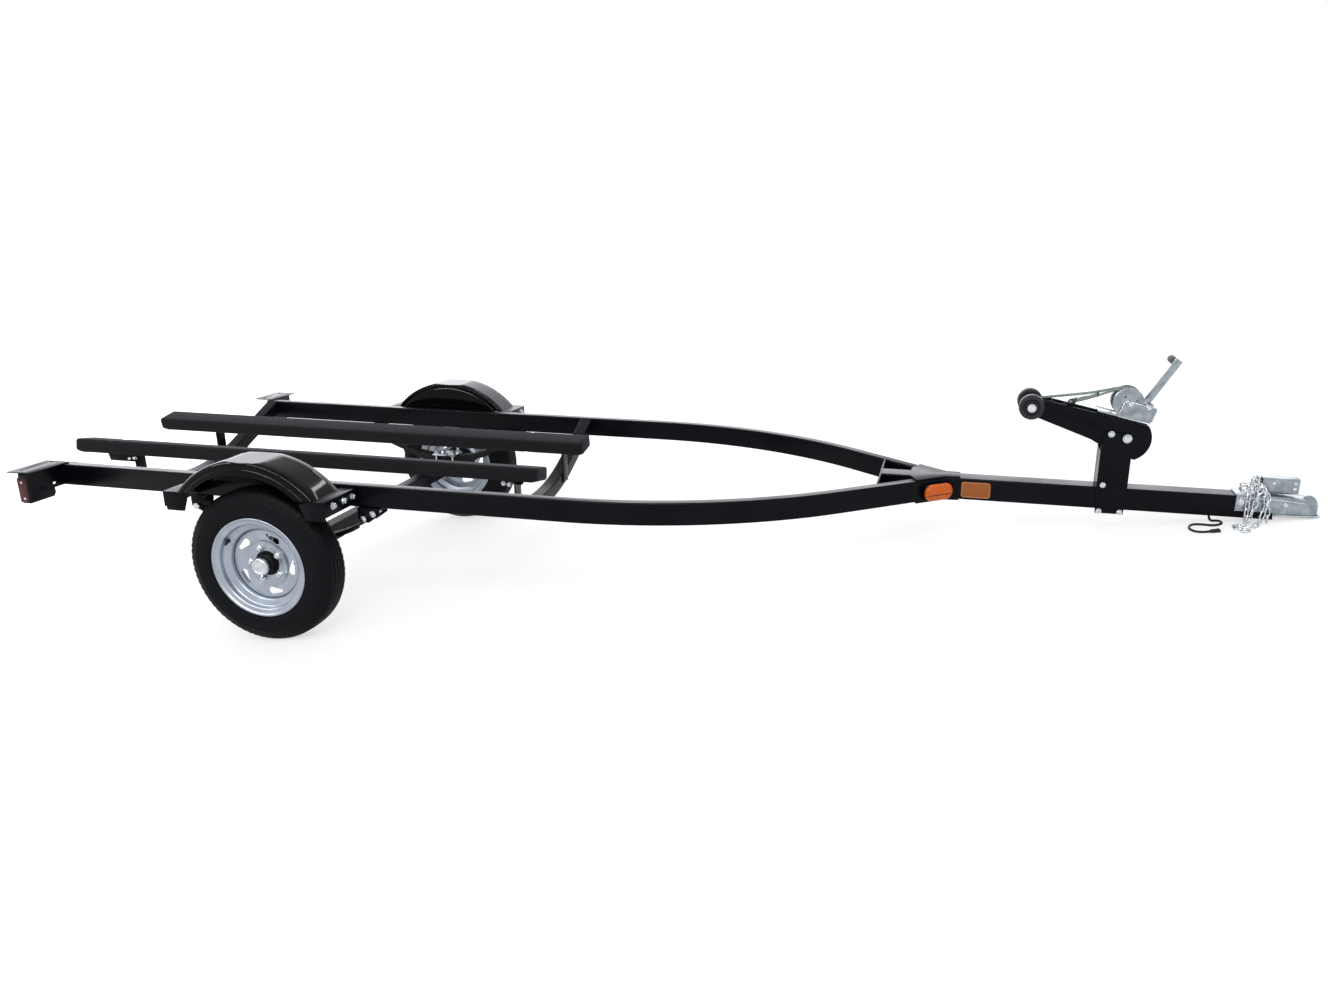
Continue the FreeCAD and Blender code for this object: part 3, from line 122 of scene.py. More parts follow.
def startMaterial(name, colour, roughness, metallic=0.0, sockets=None):
    material = bpy.data.materials.new(name)
    material.use_nodes = True
    tree = material.node_tree
    shader = tree.nodes["Principled BSDF"]
    values = {"Base Color": hexColour(colour), "Roughness": roughness, "Metallic": metallic,
              **(sockets or {})}
    for key, value in values.items():
        shader.inputs[key].default_value = value
    return material, tree, shader, addNode(tree, "ShaderNodeTexCoord").outputs["Object"]


def roughen(tree, shader, place, low, high, size):
    # Handling marks and thin dust change the gloss in soft patches
    patches = addNode(tree, "ShaderNodeTexNoise", {"Scale": perMetre(size), "Detail": 3.0, "Roughness": 0.45},
                      {"Vector": place})
    span = addNode(tree, "ShaderNodeMapRange", {"From Min": 0.3, "From Max": 0.7, "To Min": low,
                                                "To Max": high},
                   {"Value": patches.outputs["Fac"]})
    tree.links.new(span.outputs["Result"], shader.inputs["Roughness"])
    return patches


def tint(tree, shader, factor, darker, lighter, stops=(0.35, 0.65)):
    ramp = addNode(tree, "ShaderNodeValToRGB", None, {"Fac": factor})
    for stop, position, colour in zip(ramp.color_ramp.elements, stops, (darker, lighter)):
        stop.position = position
        stop.color = hexColour(colour)
    tree.links.new(ramp.outputs["Color"], shader.inputs["Base Color"])


def bumpFrom(tree, shader, height, distance, strength=1.0, under=None):
    links = {"Height": height}
    if under:
        links["Normal"] = under
    bump = addNode(tree, "ShaderNodeBump", {"Strength": strength, "Distance": distance / 1000}, links)
    tree.links.new(bump.outputs["Normal"], shader.inputs["Normal"])
    return bump.outputs["Normal"]


# Patches of gloss and tone, then a grain that stands up by depth; sizes are in millimetres
finishes = {
    # Polyester powder coat, baked on: satin, with a faint orange peel
    "blackPowderCoat": dict(colour="#0c0d12", rough=0.28, gloss=(0.22, 0.32), patch=160.0,
                            tones=("#090a10", "#0e0f16"), grain=3.0, detail=1.0, depth=0.05, bump=0.5,
                            sockets={"Specular IOR Level": 0.08}),
    # Deep enamel of the fenders, with fine wiping swirls
    "blackGlossEnamel": dict(colour="#07080a", rough=0.08, gloss=(0.03, 0.08), patch=70.0,
                             tones=("#060709", "#0b0c10"), grain=45.0, detail=0.0, depth=0.2, bump=0.6,
                             sockets={"Specular IOR Level": 0.1}),
    # Fine aluminium flake under a thin clear coat
    "silverWheelPaint": dict(colour="#a9b2bf", rough=0.35, metal=0.5, gloss=(0.28, 0.42), patch=60.0,
                             tones=("#a3acba", "#b5bec9"), grain=1.2, depth=0.02, bump=0.25,
                             sockets={"Coat Weight": 0.3, "Coat Roughness": 0.15}),
    # Plating on bolts, chains and rods: bright grey with cloudy patches
    "clearZincPlate": dict(colour="#c3c6c9", rough=0.3, metal=1.0, gloss=(0.2, 0.32), patch=14.0,
                           tones=("#bcc1c5", "#d0d4d7"), grain=9.0, detail=3.0, depth=0.03, bump=0.5),
    # Plated sheet of the coupler and winch: smooth, with rolling marks and water stains
    "zincPlatedSheet": dict(colour="#a4abb1", rough=0.3, metal=0.85, gloss=(0.2, 0.34), patch=22.0,
                            tones=("#858e94", "#9fa7ac"), stretch=(1.0, 6.0, 6.0), grain=15.0, detail=3.0,
                            depth=0.04, bump=0.4),
    # Matt paint on springs and hubs, with a thin bloom of rust dust
    "dippedSpringSteel": dict(colour="#121113", rough=0.55, gloss=(0.45, 0.65), patch=35.0,
                              tones=("#0e0e10", "#1b1918"), grain=1.8, detail=2.0, depth=0.12, bump=0.5,
                              sockets={"Specular IOR Level": 0.2}),
    # Vulcanised carbon black rubber: matt, with a slight bloom
    "tyreRubber": dict(colour="#0c0d10", rough=0.55, gloss=(0.5, 0.68), patch=40.0,
                       tones=("#07080c", "#0e0f15"), grain=1.5, detail=2.0, depth=0.08, bump=0.4,
                       sockets={"Specular IOR Level": 0.1}),
    # Dense rubber of rollers, valves and plug, slightly shiny where it is handled
    "mouldedRubber": dict(colour="#222227", rough=0.48, gloss=(0.4, 0.56), patch=25.0,
                          tones=("#1d1d22", "#2c2c33"), grain=2.0, detail=1.0, depth=0.05, bump=0.4,
                          sockets={"Specular IOR Level": 0.3}),
    # Housings and the crank's grip: fine spark-eroded texture
    "mouldedBlackPlastic": dict(colour="#131315", rough=0.55, gloss=(0.48, 0.6), patch=30.0,
                                tones=("#101012", "#1a1a1d"), grain=1.2, depth=0.06, bump=0.4,
                                sockets={"Specular IOR Level": 0.15}),
    # Soft jacket round the lamps' wires: satin, with dust
    "wiringJacket": dict(colour="#0e0e10", rough=0.42, gloss=(0.34, 0.5), patch=12.0,
                         tones=("#0b0b0d", "#151518"), grain=1.0, detail=2.0, depth=0.04, bump=0.4,
                         sockets={"Specular IOR Level": 0.2}),
    # A little tarnished
    "brassTerminals": dict(colour="#b08d4a", rough=0.3, metal=1.0, gloss=(0.25, 0.45), patch=3.0,
                           tones=("#94743a", "#c7a25a"))}


def makeFinish(name, colour, rough, gloss, patch, tones, metal=0.0, grain=None, detail=None, depth=0.0,
               bump=1.0, stretch=None, sockets=None):
    # A grain with no detail is made of cells, such as flake or spark marks
    material, tree, shader, place = startMaterial(name, colour, rough, metal, sockets)
    patches = roughen(tree, shader, place, *gloss, patch)
    tint(tree, shader, patches.outputs["Fac"], *tones)
    if stretch:
        place = addNode(tree, "ShaderNodeMapping", {"Scale": stretch}, {"Vector": place}).outputs["Vector"]
    if grain and detail is None:
        cells = addNode(tree, "ShaderNodeTexVoronoi", {"Scale": perMetre(grain)}, {"Vector": place})
        bumpFrom(tree, shader, cells.outputs["Distance"], depth, bump)
    elif grain:
        noise = addNode(tree, "ShaderNodeTexNoise", {"Scale": perMetre(grain), "Detail": detail},
                        {"Vector": place})
        bumpFrom(tree, shader, noise.outputs["Fac"], depth, bump)
    return material


def carpetPile():
    # Needle-punched marine carpet: short matt fibres in lengthwise ribs; the fibres are
    # drawn three times as coarse as the real ones so that they show
    look = {"rib": 5.0, "fibre": 1.6, "ribDepth": 0.5, "fibreDepth": 0.9}
    material, tree, shader, place = startMaterial("marineCarpet", "#161618", 0.95, 0.0, {
        "Sheen Weight": 0.35, "Sheen Roughness": 0.5, "Sheen Tint": hexColour("#8c8c96"),
        "Specular IOR Level": 0.2})
    fibre = addNode(tree, "ShaderNodeTexNoise", {"Scale": perMetre(look["fibre"]), "Detail": 4.0,
                                                 "Roughness": 0.7},
                    {"Vector": place})
    tint(tree, shader, fibre.outputs["Fac"], "#0a0a0c", "#1d1d21")
    rib = addNode(tree, "ShaderNodeTexWave", {"Scale": perMetre(look["rib"]) / 20 * math.pi,
                                              "Distortion": 1.2, "Detail": 2.0, "Detail Scale": 3.0},
                  {"Vector": place}, bands_direction="Y")
    under = bumpFrom(tree, shader, rib.outputs["Fac"], look["ribDepth"], 0.5)
    bumpFrom(tree, shader, fibre.outputs["Fac"], look["fibreDepth"], 0.8, under)
    return material


def lensPlastic(name, colour, deep, rib):
    # Acrylic lens: glossy face over fine moulded prisms
    material, tree, shader, place = startMaterial(name, colour, 0.2, 0.0, {
        "Coat Weight": 0.25, "Coat Roughness": 0.06, "Subsurface Weight": 0.12, "Subsurface Scale": 0.004,
        "Specular IOR Level": 0.2})
    prism = addNode(tree, "ShaderNodeTexVoronoi", {"Scale": perMetre(rib), "Randomness": 0.05},
                    {"Vector": place})
    tint(tree, shader, prism.outputs["Distance"], colour, deep)
    bumpFrom(tree, shader, prism.outputs["Distance"], 0.5, 0.5)
    return material


def ropeFibre():
    # Twisted polypropylene winch rope, white and blue-green strands; the stripes follow its own UV
    look = {"turns": 1.0, "hair": 0.9}
    material, tree, shader, place = startMaterial("twistedWinchRope", "#9fb4b3", 0.6, 0.0,
                                                  {"Sheen Weight": 0.25})
    path = addNode(tree, "ShaderNodeUVMap", uv_map="alongRope").outputs["UV"]
    wave = addNode(tree, "ShaderNodeTexWave", {"Scale": look["turns"], "Distortion": 0.6, "Detail": 1.0},
                   {"Vector": path}, bands_direction="DIAGONAL")
    tint(tree, shader, wave.outputs["Fac"], "#1d4644", "#c2d0cd", (0.25, 0.6))
    hair = addNode(tree, "ShaderNodeTexNoise", {"Scale": perMetre(look["hair"]), "Detail": 2.0},
                   {"Vector": place})
    under = bumpFrom(tree, shader, wave.outputs["Fac"], 0.7, 0.7)
    bumpFrom(tree, shader, hair.outputs["Fac"], 0.3, 0.5, under)
    return material


coat, gloss, silver, zinc, sheetZinc, springBlack, rubber, softRubber, plastic, leadJacket, brass = (
    makeFinish(name, **look) for name, look in finishes.items())
carpet = carpetPile()
redLens = lensPlastic("redAcrylicLens", "#6e0c0c", "#360606", 5.0)
amberLens = lensPlastic("amberAcrylicLens", "#ff7d12", "#c8480a", 6.0)
# Darker amber for the marker lens's step: painted shade
amberShadow = lensPlastic("amberLensStepShade", "#6b2507", "#451503", 4.0)
reflexAmber = lensPlastic("amberReflexPlate", "#b76a26", "#95511a", 3.0)
reflexEdge = lensPlastic("amberReflexEdge", "#d08a55", "#b97040", 3.0)
ropeWeave = ropeFibre()
print("materials made")


# Making pieces
def shaded(mesh, sharp):
    mesh.shade_smooth()
    mesh.set_sharp_from_angle(angle=math.radians(sharp))


def meshFrom(work, name):
    mesh = bpy.data.meshes.new(name)
    work.to_mesh(mesh)
    work.free()
    return mesh


def skin(work, rings, around=True, closed=False):
    # Faces from each ring of points to the next, and over the two ends of a tube; gives (face, ring, point)
    count = len(rings[0])
    made = []
    for k in range(len(rings) if closed else len(rings) - 1):
        a, c = rings[k], rings[(k + 1) % len(rings)]
        for n in range(count if around else count - 1):
            m = (n + 1) % count
            made.append((work.faces.new((a[n], a[m], c[m], c[n])), k, n))
    if around and not closed:
        work.faces.new(rings[0][::-1])
        work.faces.new(rings[-1])
    return made


def skinned(name, rings, around=True, closed=False):
    work = bmesh.new()
    skin(work, [[work.verts.new(place) for place in ring] for ring in rings], around, closed)
    return meshFrom(work, name)


def addPiece(name, mesh, material, body="frame", sharp=32, place=toFrame, fixNormals=True):
    if place:
        mesh.transform(place)
    if fixNormals:
        work = bmesh.new()
        work.from_mesh(mesh)
        bmesh.ops.remove_doubles(work, verts=work.verts, dist=1e-6)
        bmesh.ops.recalc_face_normals(work, faces=work.faces)
        work.to_mesh(mesh)
        work.free()
    shaded(mesh, sharp)
    mesh.materials.clear()
    mesh.materials.append(material)
    piece = bpy.data.objects.new(name, mesh)
    scene.collection.objects.link(piece)
    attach(piece, body)
    return piece


def easeEdges(piece, width, angle):
    ease = piece.modifiers.new("ease", "BEVEL")
    ease.width = width
    ease.segments = 2
    ease.limit_method = "ANGLE"
    ease.angle_limit = math.radians(angle)


def finished(piece, sharp, place=None):
    # Applies what is on the piece, so that it is a plain mesh, and moves it if a place is given
    bpy.context.view_layer.update()
    seen = piece.evaluated_get(bpy.context.evaluated_depsgraph_get())
    mesh = bpy.data.meshes.new_from_object(seen)
    piece.modifiers.clear()
    piece.data = mesh
    if place:
        mesh.transform(place)
    shaded(mesh, sharp)


def cutAway(piece, work, sharp, ease=0.0):
    # Takes the solids in work out of a piece that is still level, then tips it
    cutter = bpy.data.objects.new("cutter", meshFrom(work, "cutter"))
    scene.collection.objects.link(cutter)
    hole = piece.modifiers.new("holes", "BOOLEAN")
    hole.object = cutter
    hole.solver = "EXACT"
    if ease:
        easeEdges(piece, ease, 50)
    finished(piece, sharp, toFrame)
    bpy.data.objects.remove(cutter)


def softEdged(node, material, width):
    # The CAD node's own shape with its corners eased, as a folded or sawn edge really is
    sharp = 32
    work = bmesh.new()
    work.from_mesh(nodes[node].data)
    bmesh.ops.remove_doubles(work, verts=work.verts, dist=2e-6)
    bmesh.ops.dissolve_limit(work, angle_limit=math.radians(0.4), verts=work.verts, edges=work.edges)
    piece = addPiece(node + "_eased", meshFrom(work, node + "Eased"), material, "frame", sharp, None, False)
    if width:
        easeEdges(piece, width / 1000, 40)
        finished(piece, sharp)
    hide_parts(node)


def same(value):
    return value


def lathe(name, profile, segments, y=same, reach=None):
    # Turns an outline of (radius, distance outward) about Y; reach may change a point by its angle
    rings = []
    for k in range(segments):
        angle = 2 * math.pi * k / segments
        spots = [reach(n, r, out, k) if reach else (r, out) for n, (r, out) in enumerate(profile)]
        rings.append([(r * math.sin(angle), y(out), r * math.cos(angle)) for r, out in spots])
    return skinned(name, rings, False, True)


def standOn(mesh, place, way):
    # Turns what was made along Y to point along way, and moves it to place
    turn = Vector(way).to_track_quat("Y", "Z").to_matrix().to_4x4()
    mesh.transform(Matrix.Translation(place) @ turn)


def nurbsCurve(name, points, steps):
    curve = bpy.data.curves.new(name, "CURVE")
    curve.dimensions = "3D"
    curve.resolution_u = steps
    spline = curve.splines.new("NURBS")
    spline.points.add(len(points) - 1)
    for point, place in zip(spline.points, points):
        point.co = (*place, 1)
    spline.order_u = 3
    spline.use_endpoint_u = True
    return curve


def smoothLine(points):
    # Points along the curve that has these as its control points
    route = bpy.data.objects.new("route", nurbsCurve("route", points, 8))
    scene.collection.objects.link(route)
    line = bpy.data.meshes.new_from_object(route)
    found = [v.co.copy() for v in line.vertices]
    bpy.data.objects.remove(route)
    bpy.data.meshes.remove(line)
    return found


def roundRing(half, tall, soft, steps):
    # Points round a box section whose corners have radius soft
    ring = []
    for cx, cz, start in ((half - soft, tall - soft, 0), (-half + soft, tall - soft, 90),
                          (-half + soft, -tall + soft, 180), (half - soft, -tall + soft, 270)):
        for n in range(steps + 1):
            a = math.radians(start + 90 * n / steps)
            ring.append((cx + soft * math.cos(a), cz + soft * math.sin(a)))
    return ring


def circle(count):
    return [2 * math.pi * n / count for n in range(count)]


def addPipe(name, points, radius, sides, material, closed=False, sharp=50):
    # A round bar of one thickness along points
    points = [Vector(p) for p in points]
    count = len(points)
    rings = []
    up = None
    for k, point in enumerate(points):
        before = points[k - 1] if k or closed else point
        after = points[(k + 1) % count] if k < count - 1 or closed else point
        along = (after - before).normalized()
        if up is None:
            up = along.orthogonal().normalized()
        up = (up - along * up.dot(along)).normalized()
        across = along.cross(up)
        rings.append([point + (up * math.cos(a) + across * math.sin(a)) * radius for a in circle(sides)])
    return addPiece(name, skinned(name, rings, True, closed), material, "frame", sharp)


# Wiring lead, from the tongue's underside to its plug on the floor; its points are the CAD tube's own
leadShape = {"radius": 4.0, "gap": 0.7, "start": (3112.0, -12.0, 188.7), "length": 0.31,
             "lay": [(0, -12), (34, -10), (40, -46), (10, -66), (-24, -44), (-54, -36), (-72, -66),
                     (-68, -104), (-44, -128), (-16, -124)],
             "plug": {"end": 32.0, "top": 5.5, "ribs": (6.5, 3.1), "pins": (-6.0, -2.0, 2.0, 6.0)}}


def leadPoints():
    lead = leadShape
    x0, y0, z0 = lead["start"]
    points = [onFrame(x0, y0, z0)]
    for dx, y in lead["lay"]:
        x = x0 + dx
        points.append(onFrame(x, y,
                              floorUnder(x) + (lead["radius"] + lead["gap"]) / math.cos(stance["lean"])))
    return points


def plugBody(place):
    # Flat moulded plug: a ribbed body with a tapered neck and a mouth for its four ways
    b = leadShape["plug"]
    r, end, top = leadShape["radius"], b["end"], b["top"]
    stations = [(0, r + 0.4, r + 0.6), (1.5, r + 0.9, r + 0.9), (4, 7.4, top - 1.2), (5.5, 8.6, top - 0.5)]
    for k in range(4):
        x = b["ribs"][0] + b["ribs"][1] * k
        stations += [(x, 9.1, top - 0.9), (x + 0.5, 10.3, top - 0.1), (x + 1.7, 10.3, top - 0.1),
                     (x + 2.2, 9.1, top - 0.9)]
    stations += [(20, 9.4, top - 0.6), (21, 10.4, top), (end - 1, 10.5, top), (end, 10, top - 0.5),
                 (end, 8.9, top - 1.7), (end - 5, 8.7, top - 1.9)]
    rings = []
    for x, half, high in stations:
        middle, tall = (high - r) / 2, (high + r) / 2
        rings.append([(x, y, middle + z) for y, z in roundRing(half, tall, min(half, tall) * 0.55, 3)])
    return addPiece("wiring_plug_moulded", skinned("wiring_plug_moulded", rings), softRubber, "frame", 35,
                    place)


def makeLead():
    lead = leadShape
    points = leadPoints()
    curve = nurbsCurve("wiring_lead_line", points, 16)
    curve.bevel_depth = lead["radius"] / 1000
    curve.bevel_resolution = 5
    curve.use_fill_caps = True
    curve.materials.append(leadJacket)
    piece = bpy.data.objects.new("wiring_lead_line", curve)
    scene.collection.objects.link(piece)
    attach(piece, "frame")
    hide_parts("wiring_lead")
    run = points[-1] - points[-2]
    turn = Matrix.Rotation(math.atan2(run.y, run.x), 4, "Z")
    place = Matrix.Translation(points[-1]) @ turn @ Matrix.Scale(0.001, 4)
    plug = plugBody(place)
    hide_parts("wiring_plug")
    for y in lead["plug"]["pins"]:
        pin = lathe("wiring_plug_pin", [(0.01, 0), (1.1, 0), (1.1, 5.4), (0.7, 6.2), (0.01, 6.4)], 12)
        standOn(pin, (lead["plug"]["end"] - 5.2, y, 0.8), (1, 0, 0))
        addPiece("wiring_plug_pin_%d" % (y + 6), pin, brass, "frame", 30, place)
    tuple(points[0])


makeLead()
print("wiring lead laid")


# CAD shapes that keep their form, with the width in millimetres that their corners are eased by
dressed = [(softRubber, 0.6, "wiring_grommet"),
           (coat, 1.2, "side_rail_right side_rail_left tongue_tube"),
           (coat, 1.0, "junction_plate top_gusset bottom_gusset"),
           (coat, 0.0, "front_cross_member rear_cross_member axle"),
           (coat, 0.8, "winch_post bow_arm fender_brackets_right fender_brackets_left spring_hangers_right "
                       "spring_hangers_left"),
           (coat, 0.5, "tail_bracket_right tail_bracket_left"),
           (coat, 0.6, "bunk_brackets_right bunk_brackets_left"),
           (zinc, 0.4, "axle_clamp_right axle_clamp_left spring_bolts_right spring_bolts_left roller_shaft"),
           (sheetZinc, 0.6, "winch_frame winch_crank coupler_body coupler_latch"),
           (springBlack, 0.5, "leaf_spring_right leaf_spring_left"),
           (plastic, 1.5, "winch_grip")]
for material, width, names in dressed:
    for node in names.split():
        softEdged(node, material, width)
print("CAD shapes dressed")


# Winch: a round rim along the edges of the CAD's side plates, in the brighter bolt plating as a painted
# highlight along those edges, and a drum between rolled flanges
winchShape = {"drum": (2808.0, 557.0), "foot": (-30.0, -45.5), "tilt": 12.0, "half": 39.5, "rim": 2.1,
              "long": 112.0, "high": 58.0, "holes": [(-12.4, 20.4), (26, 8)], "holeRadius": 4.2}
winchDrum = [(0.01, 45), (6.4, 45), (8, 43.6), (8, 41), (9, 40.6), (9, 39.7), (8, 39.7), (8, 34.6),
             (14, 34.6), (16, 34), (43, 34), (45.4, 35.2), (48.4, 35.6), (50, 34.4), (50, 32.4), (48.6, 31.2),
             (45, 30.8), (42.6, 31.5), (22, 31.5)]


def winchPoint(along, up):
    tilt = math.radians(winchShape["tilt"])
    x, z = winchShape["drum"]
    footX, footZ = winchShape["foot"]
    return (x + footX + along * math.cos(tilt) + up * math.sin(tilt),
            z + footZ - along * math.sin(tilt) + up * math.cos(tilt))


def makeWinch():
    w = winchShape
    n, h = w["long"], w["high"]
    flats = [(0.5, 1.6), (n - 9, 1.6), (n - 1.8, 9), (n + 0.4, h - 7), (n - 5, h - 1.6), (11, h - 1.6),
             (6.4, h - 9), (-0.6, 6)]
    for side, sign in sides.items():
        corners = [winchPoint(*flat) for flat in flats]
        # The rim takes the bright zinc of the bolts rather than the plates' darker sheet: a painted highlight
        # on the plate edges
        addPipe("winch_rim_highlight_" + side, [(x, sign * (w["half"] + 0.7), z) for x, z in corners], w["rim"], 8,
                zinc, True)
    x, z = w["drum"]
    mesh = lathe("winch_drum_turned", [(r, -y) for r, y in winchDrum] + winchDrum[::-1], 72)
    mesh.transform(Matrix.Translation((x, 0, z)))
    drum = addPiece("winch_drum_turned", mesh, sheetZinc, "frame", 30, None)
    work = bmesh.new()
    for dx, dz in w["holes"]:
        matrix = Matrix.Translation((x + dx, 0, z + dz)) @ Matrix.Rotation(math.pi / 2, 4, "X")
        bmesh.ops.create_cone(work, cap_ends=True, segments=20, radius1=w["holeRadius"],
                              radius2=w["holeRadius"], depth=300, matrix=matrix)
    cutAway(drum, work, 30)
    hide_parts("winch_drum")


# Beads pressed outward along the bow arm and the coupler, and the rolled lip round the coupler's foot; the
# coupler's lip and beads are in the brighter bolt plating, not its darker sheet, as painted highlights
armBead = [(2542, 35.4, 527.5), (2556, 37.2, 523.4), (2632, 37.2, 500.6), (2710, 37.2, 476.6),
           (2725, 35.4, 472)]
couplerBead = [(3206, 40.6, 261), (3216, 42, 260.4), (3318, 42, 258.6), (3366, 38.4, 254), (3396, 35, 250)]
couplerLip = [(3304, -52, 209), (3421, -43.4, 209), (3444, -30, 209), (3450.6, -15, 209), (3450.6, 15, 209),
              (3444, 30, 209), (3421, 43.4, 209), (3304, 52, 209)]
couplerPinPlace = (3336, 39.6, 243)
couplerPin = [(0.01, 0), (7, 0), (7, 2.2), (5.4, 3.2), (3.6, 3.2), (3.2, 0.6), (0.01, 0.4)]


def makeBeads():
    for side, sign in sides.items():
        bead = [(x, sign * y, z) for x, y, z in armBead]
        addPipe("arm_bead_" + side, smoothLine(bead), 4.2, 12, coat)
    # The lip is in the brighter zinc rather than the coupler's sheet: a painted highlight along its foot
    addPipe("coupler_lip_highlight", smoothLine(couplerLip), 2.7, 12, zinc)
    for side, sign in sides.items():
        bead = [(x, sign * y, z) for x, y, z in couplerBead]
        # Painted highlight: the bead is in the brighter zinc rather than the coupler's sheet
        addPipe("coupler_bead_highlight_" + side, smoothLine(bead), 2.6, 10, zinc)
        x, y, z = couplerPinPlace
        pin = lathe("coupler_pin_" + side, couplerPin, 24)
        standOn(pin, (x, sign * y, z), (0, sign, 0))
        addPiece("coupler_pin_" + side, pin, zinc, "frame", 40)


makeBeads()
makeWinch()
print("winch made")


# Wheels; distances outward go away from the trailer's middle on both sides
axleMiddle = {"right": -714.0, "left": 714.0}


def wheelSide(side):
    sign = sides[side]
    return lambda out: axleMiddle[side] + sign * out


# Tyre: radial with four grooves, notched shoulders and plain side walls
tyreShape = {"radius": 268.0, "segments": 288, "pitch": 4, "grooves": (-22.5, -7.5, 7.5, 22.5),
             "grooveWidth": 4.6, "grooveDepth": 5.5, "notchDepth": 3.4, "crown": 2.4, "halfTread": 41.0,
             "shoulder": (0.86, 2.6), "sipe": 0.9, "sipedHalf": 20, "wallRib": 0.5}


def tyreProfile():
    t = tyreShape
    tread = t["halfTread"]
    edges = [-tread]
    for g in t["grooves"]:
        edges += [g - t["grooveWidth"] / 2, g + t["grooveWidth"] / 2]
    edges.append(tread)

    def crown(v):
        start, drop = t["shoulder"]
        fall = drop * max(0, abs(v) / tread - start) / (1 - start)
        return t["radius"] - t["crown"] * (v / tread) ** 2 - fall

    def onTread(*places):
        return [(crown(v), v) for v in places]

    points = onTread(edges[0])
    for k in range(1, len(edges) - 1, 2):
        a, b = edges[k], edges[k + 1]
        points += onTread((edges[k - 1] + a) / 2, a)
        points += [(crown(a) - t["grooveDepth"], a + 0.8), (crown(b) - t["grooveDepth"], b - 0.8),
                   (crown(b), b)]
    points += onTread((edges[-2] + edges[-1]) / 2, edges[-1])
    wall = [(258.5, 45.5), (253, 49.5), (250.5, 50.2), (248, 52.0), (240, 55.6), (232, 58.0), (231, 58.8),
            (229, 58.9), (228, 58.4), (214, 59.6), (200, 59.4), (190, 58.2), (189, 58.9), (186.5, 58.8),
            (185.5, 57.8), (178, 56.2), (173.5, 54.4), (172.5, 51.5), (160, 50.5), (153, 47.0)]
    inner = [(165, 43.0), (200, 50.5), (222, 50.5), (246, 43.0), (256, 30.0)]
    outline = [(r, -y) for r, y in reversed(wall)] + points + wall + inner
    outline += [(r, -y) for r, y in reversed(inner)]
    return outline + [outline[0]], len(wall), len(points)


def makeTyre(side):
    t = tyreShape
    outline, first, treadCount = tyreProfile()
    last = first + treadCount - 1

    def reach(n, r, out, k):
        if n in (first - 1, first, last, last + 1) and k % t["pitch"] == 0:
            return r - t["notchDepth"], out
        if first < n < last and abs(out) < t["sipedHalf"] and (k + n * 2) % (t["pitch"] * 2) == 0:
            return r - t["sipe"], out
        if n in (first - 4, first - 3, last + 3, last + 4) and k % 2 == 0:
            return r, out + math.copysign(t["wallRib"], out)
        return r, out

    mesh = lathe("tyre_" + side + "_tread", outline, t["segments"], wheelSide(side), reach)
    piece = addPiece("tyre_" + side + "_tread", mesh, rubber, "wheel_" + side, 28)
    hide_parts("tyre_" + side)


# Wheel: rolled rim with its well, and the pressed disc with five windows
wheelShape = {"segments": 160, "turn": -16.0, "windowRadius": 99.0, "big": 12.5, "small": 6.0, "length": 36.0,
              "slant": 12.0, "studCircle": 57.15, "studHole": 7.2, "boss": (15.0, 1.3),
              "valve": (-57.0, 141.0)}
wheelLip = [(152, 33.6), (152.1, 41), (152.6, 44.6), (154.6, 47.2), (158, 48.4), (163, 49.4), (166, 51),
            (168.6, 53.2), (171, 54), (174.2, 55), (174.3, 57), (172.6, 58.3), (170, 58.4), (167.5, 57),
            (166, 54.6), (163, 52.6), (158, 51.6), (154, 50.6), (151.2, 48.6), (149.6, 45.4), (149, 41),
            (148.8, 34), (147.2, 31.2), (143, 28.8), (130, 23), (126.6, 20.8), (125.2, 17.4)]
wheelDisc = [(124.8, 6.4), (122.8, 8.6), (120.6, 10.4), (117.6, 11.7), (113, 12.1), (104, 12.3), (93, 12.1),
             (88.5, 11.4), (84.6, 10), (81.4, 8), (78.4, 6.2), (75, 4.8), (71, 4.1), (67, 4), (63, 4),
             (59, 4), (55, 4), (51, 4), (47.5, 4), (45.6, 4.6), (44, 4.2), (43, 3), (43, 0.4), (44, 0),
             (73, 0), (77.5, 1.4), (81, 3.8), (85, 6.6), (89.5, 8), (104, 8.3), (114.5, 8), (118.6, 6.6),
             (120.6, 4), (121.2, 0.4), (125, 0)]
wheelWell = [(128, 15), (128.8, 18), (131.6, 20.2), (144.4, 25.8), (150.4, 29.6)]


def mirrored(points):
    return [(r, -y) for r, y in reversed(points)]


wheelOutline = wheelLip + wheelDisc + mirrored(wheelLip) + mirrored(wheelWell) + wheelWell + wheelLip[:1]


def studSpots():
    spots = []
    for k in range(5):
        a = math.radians(wheelShape["turn"] + 72 * k)
        spots.append((wheelShape["studCircle"] * math.sin(a), wheelShape["studCircle"] * math.cos(a)))
    return spots


def studBoss(n, r, out, k):
    # The disc is pressed up a little round each stud
    if not (46 < r < 74 and out > 3.9):
        return r, out
    wide, high = wheelShape["boss"]
    a = 2 * math.pi * k / wheelShape["segments"]
    near = min(math.hypot(r * math.sin(a) - x, r * math.cos(a) - z) for x, z in studSpots())
    return r, out + high * max(0, 1 - (near / wide) ** 4)


def turned(x, z, angle):
    # A point of the wheel's face, turned about the axle
    return x * math.cos(angle) + z * math.sin(angle), -x * math.sin(angle) + z * math.cos(angle)


def windowOutline(k):
    w = wheelShape
    points = []
    for centre, radius, start in ((-w["length"] / 2, w["small"], 90), (w["length"] / 2, w["big"], -90)):
        for step in range(13):
            a = math.radians(start + 15 * step)
            x, z = turned(centre + radius * math.cos(a), radius * math.sin(a), math.radians(w["slant"]))
            points.append(turned(x, z + w["windowRadius"], math.radians(w["turn"] + 72 * (k + 0.5))))
    return points


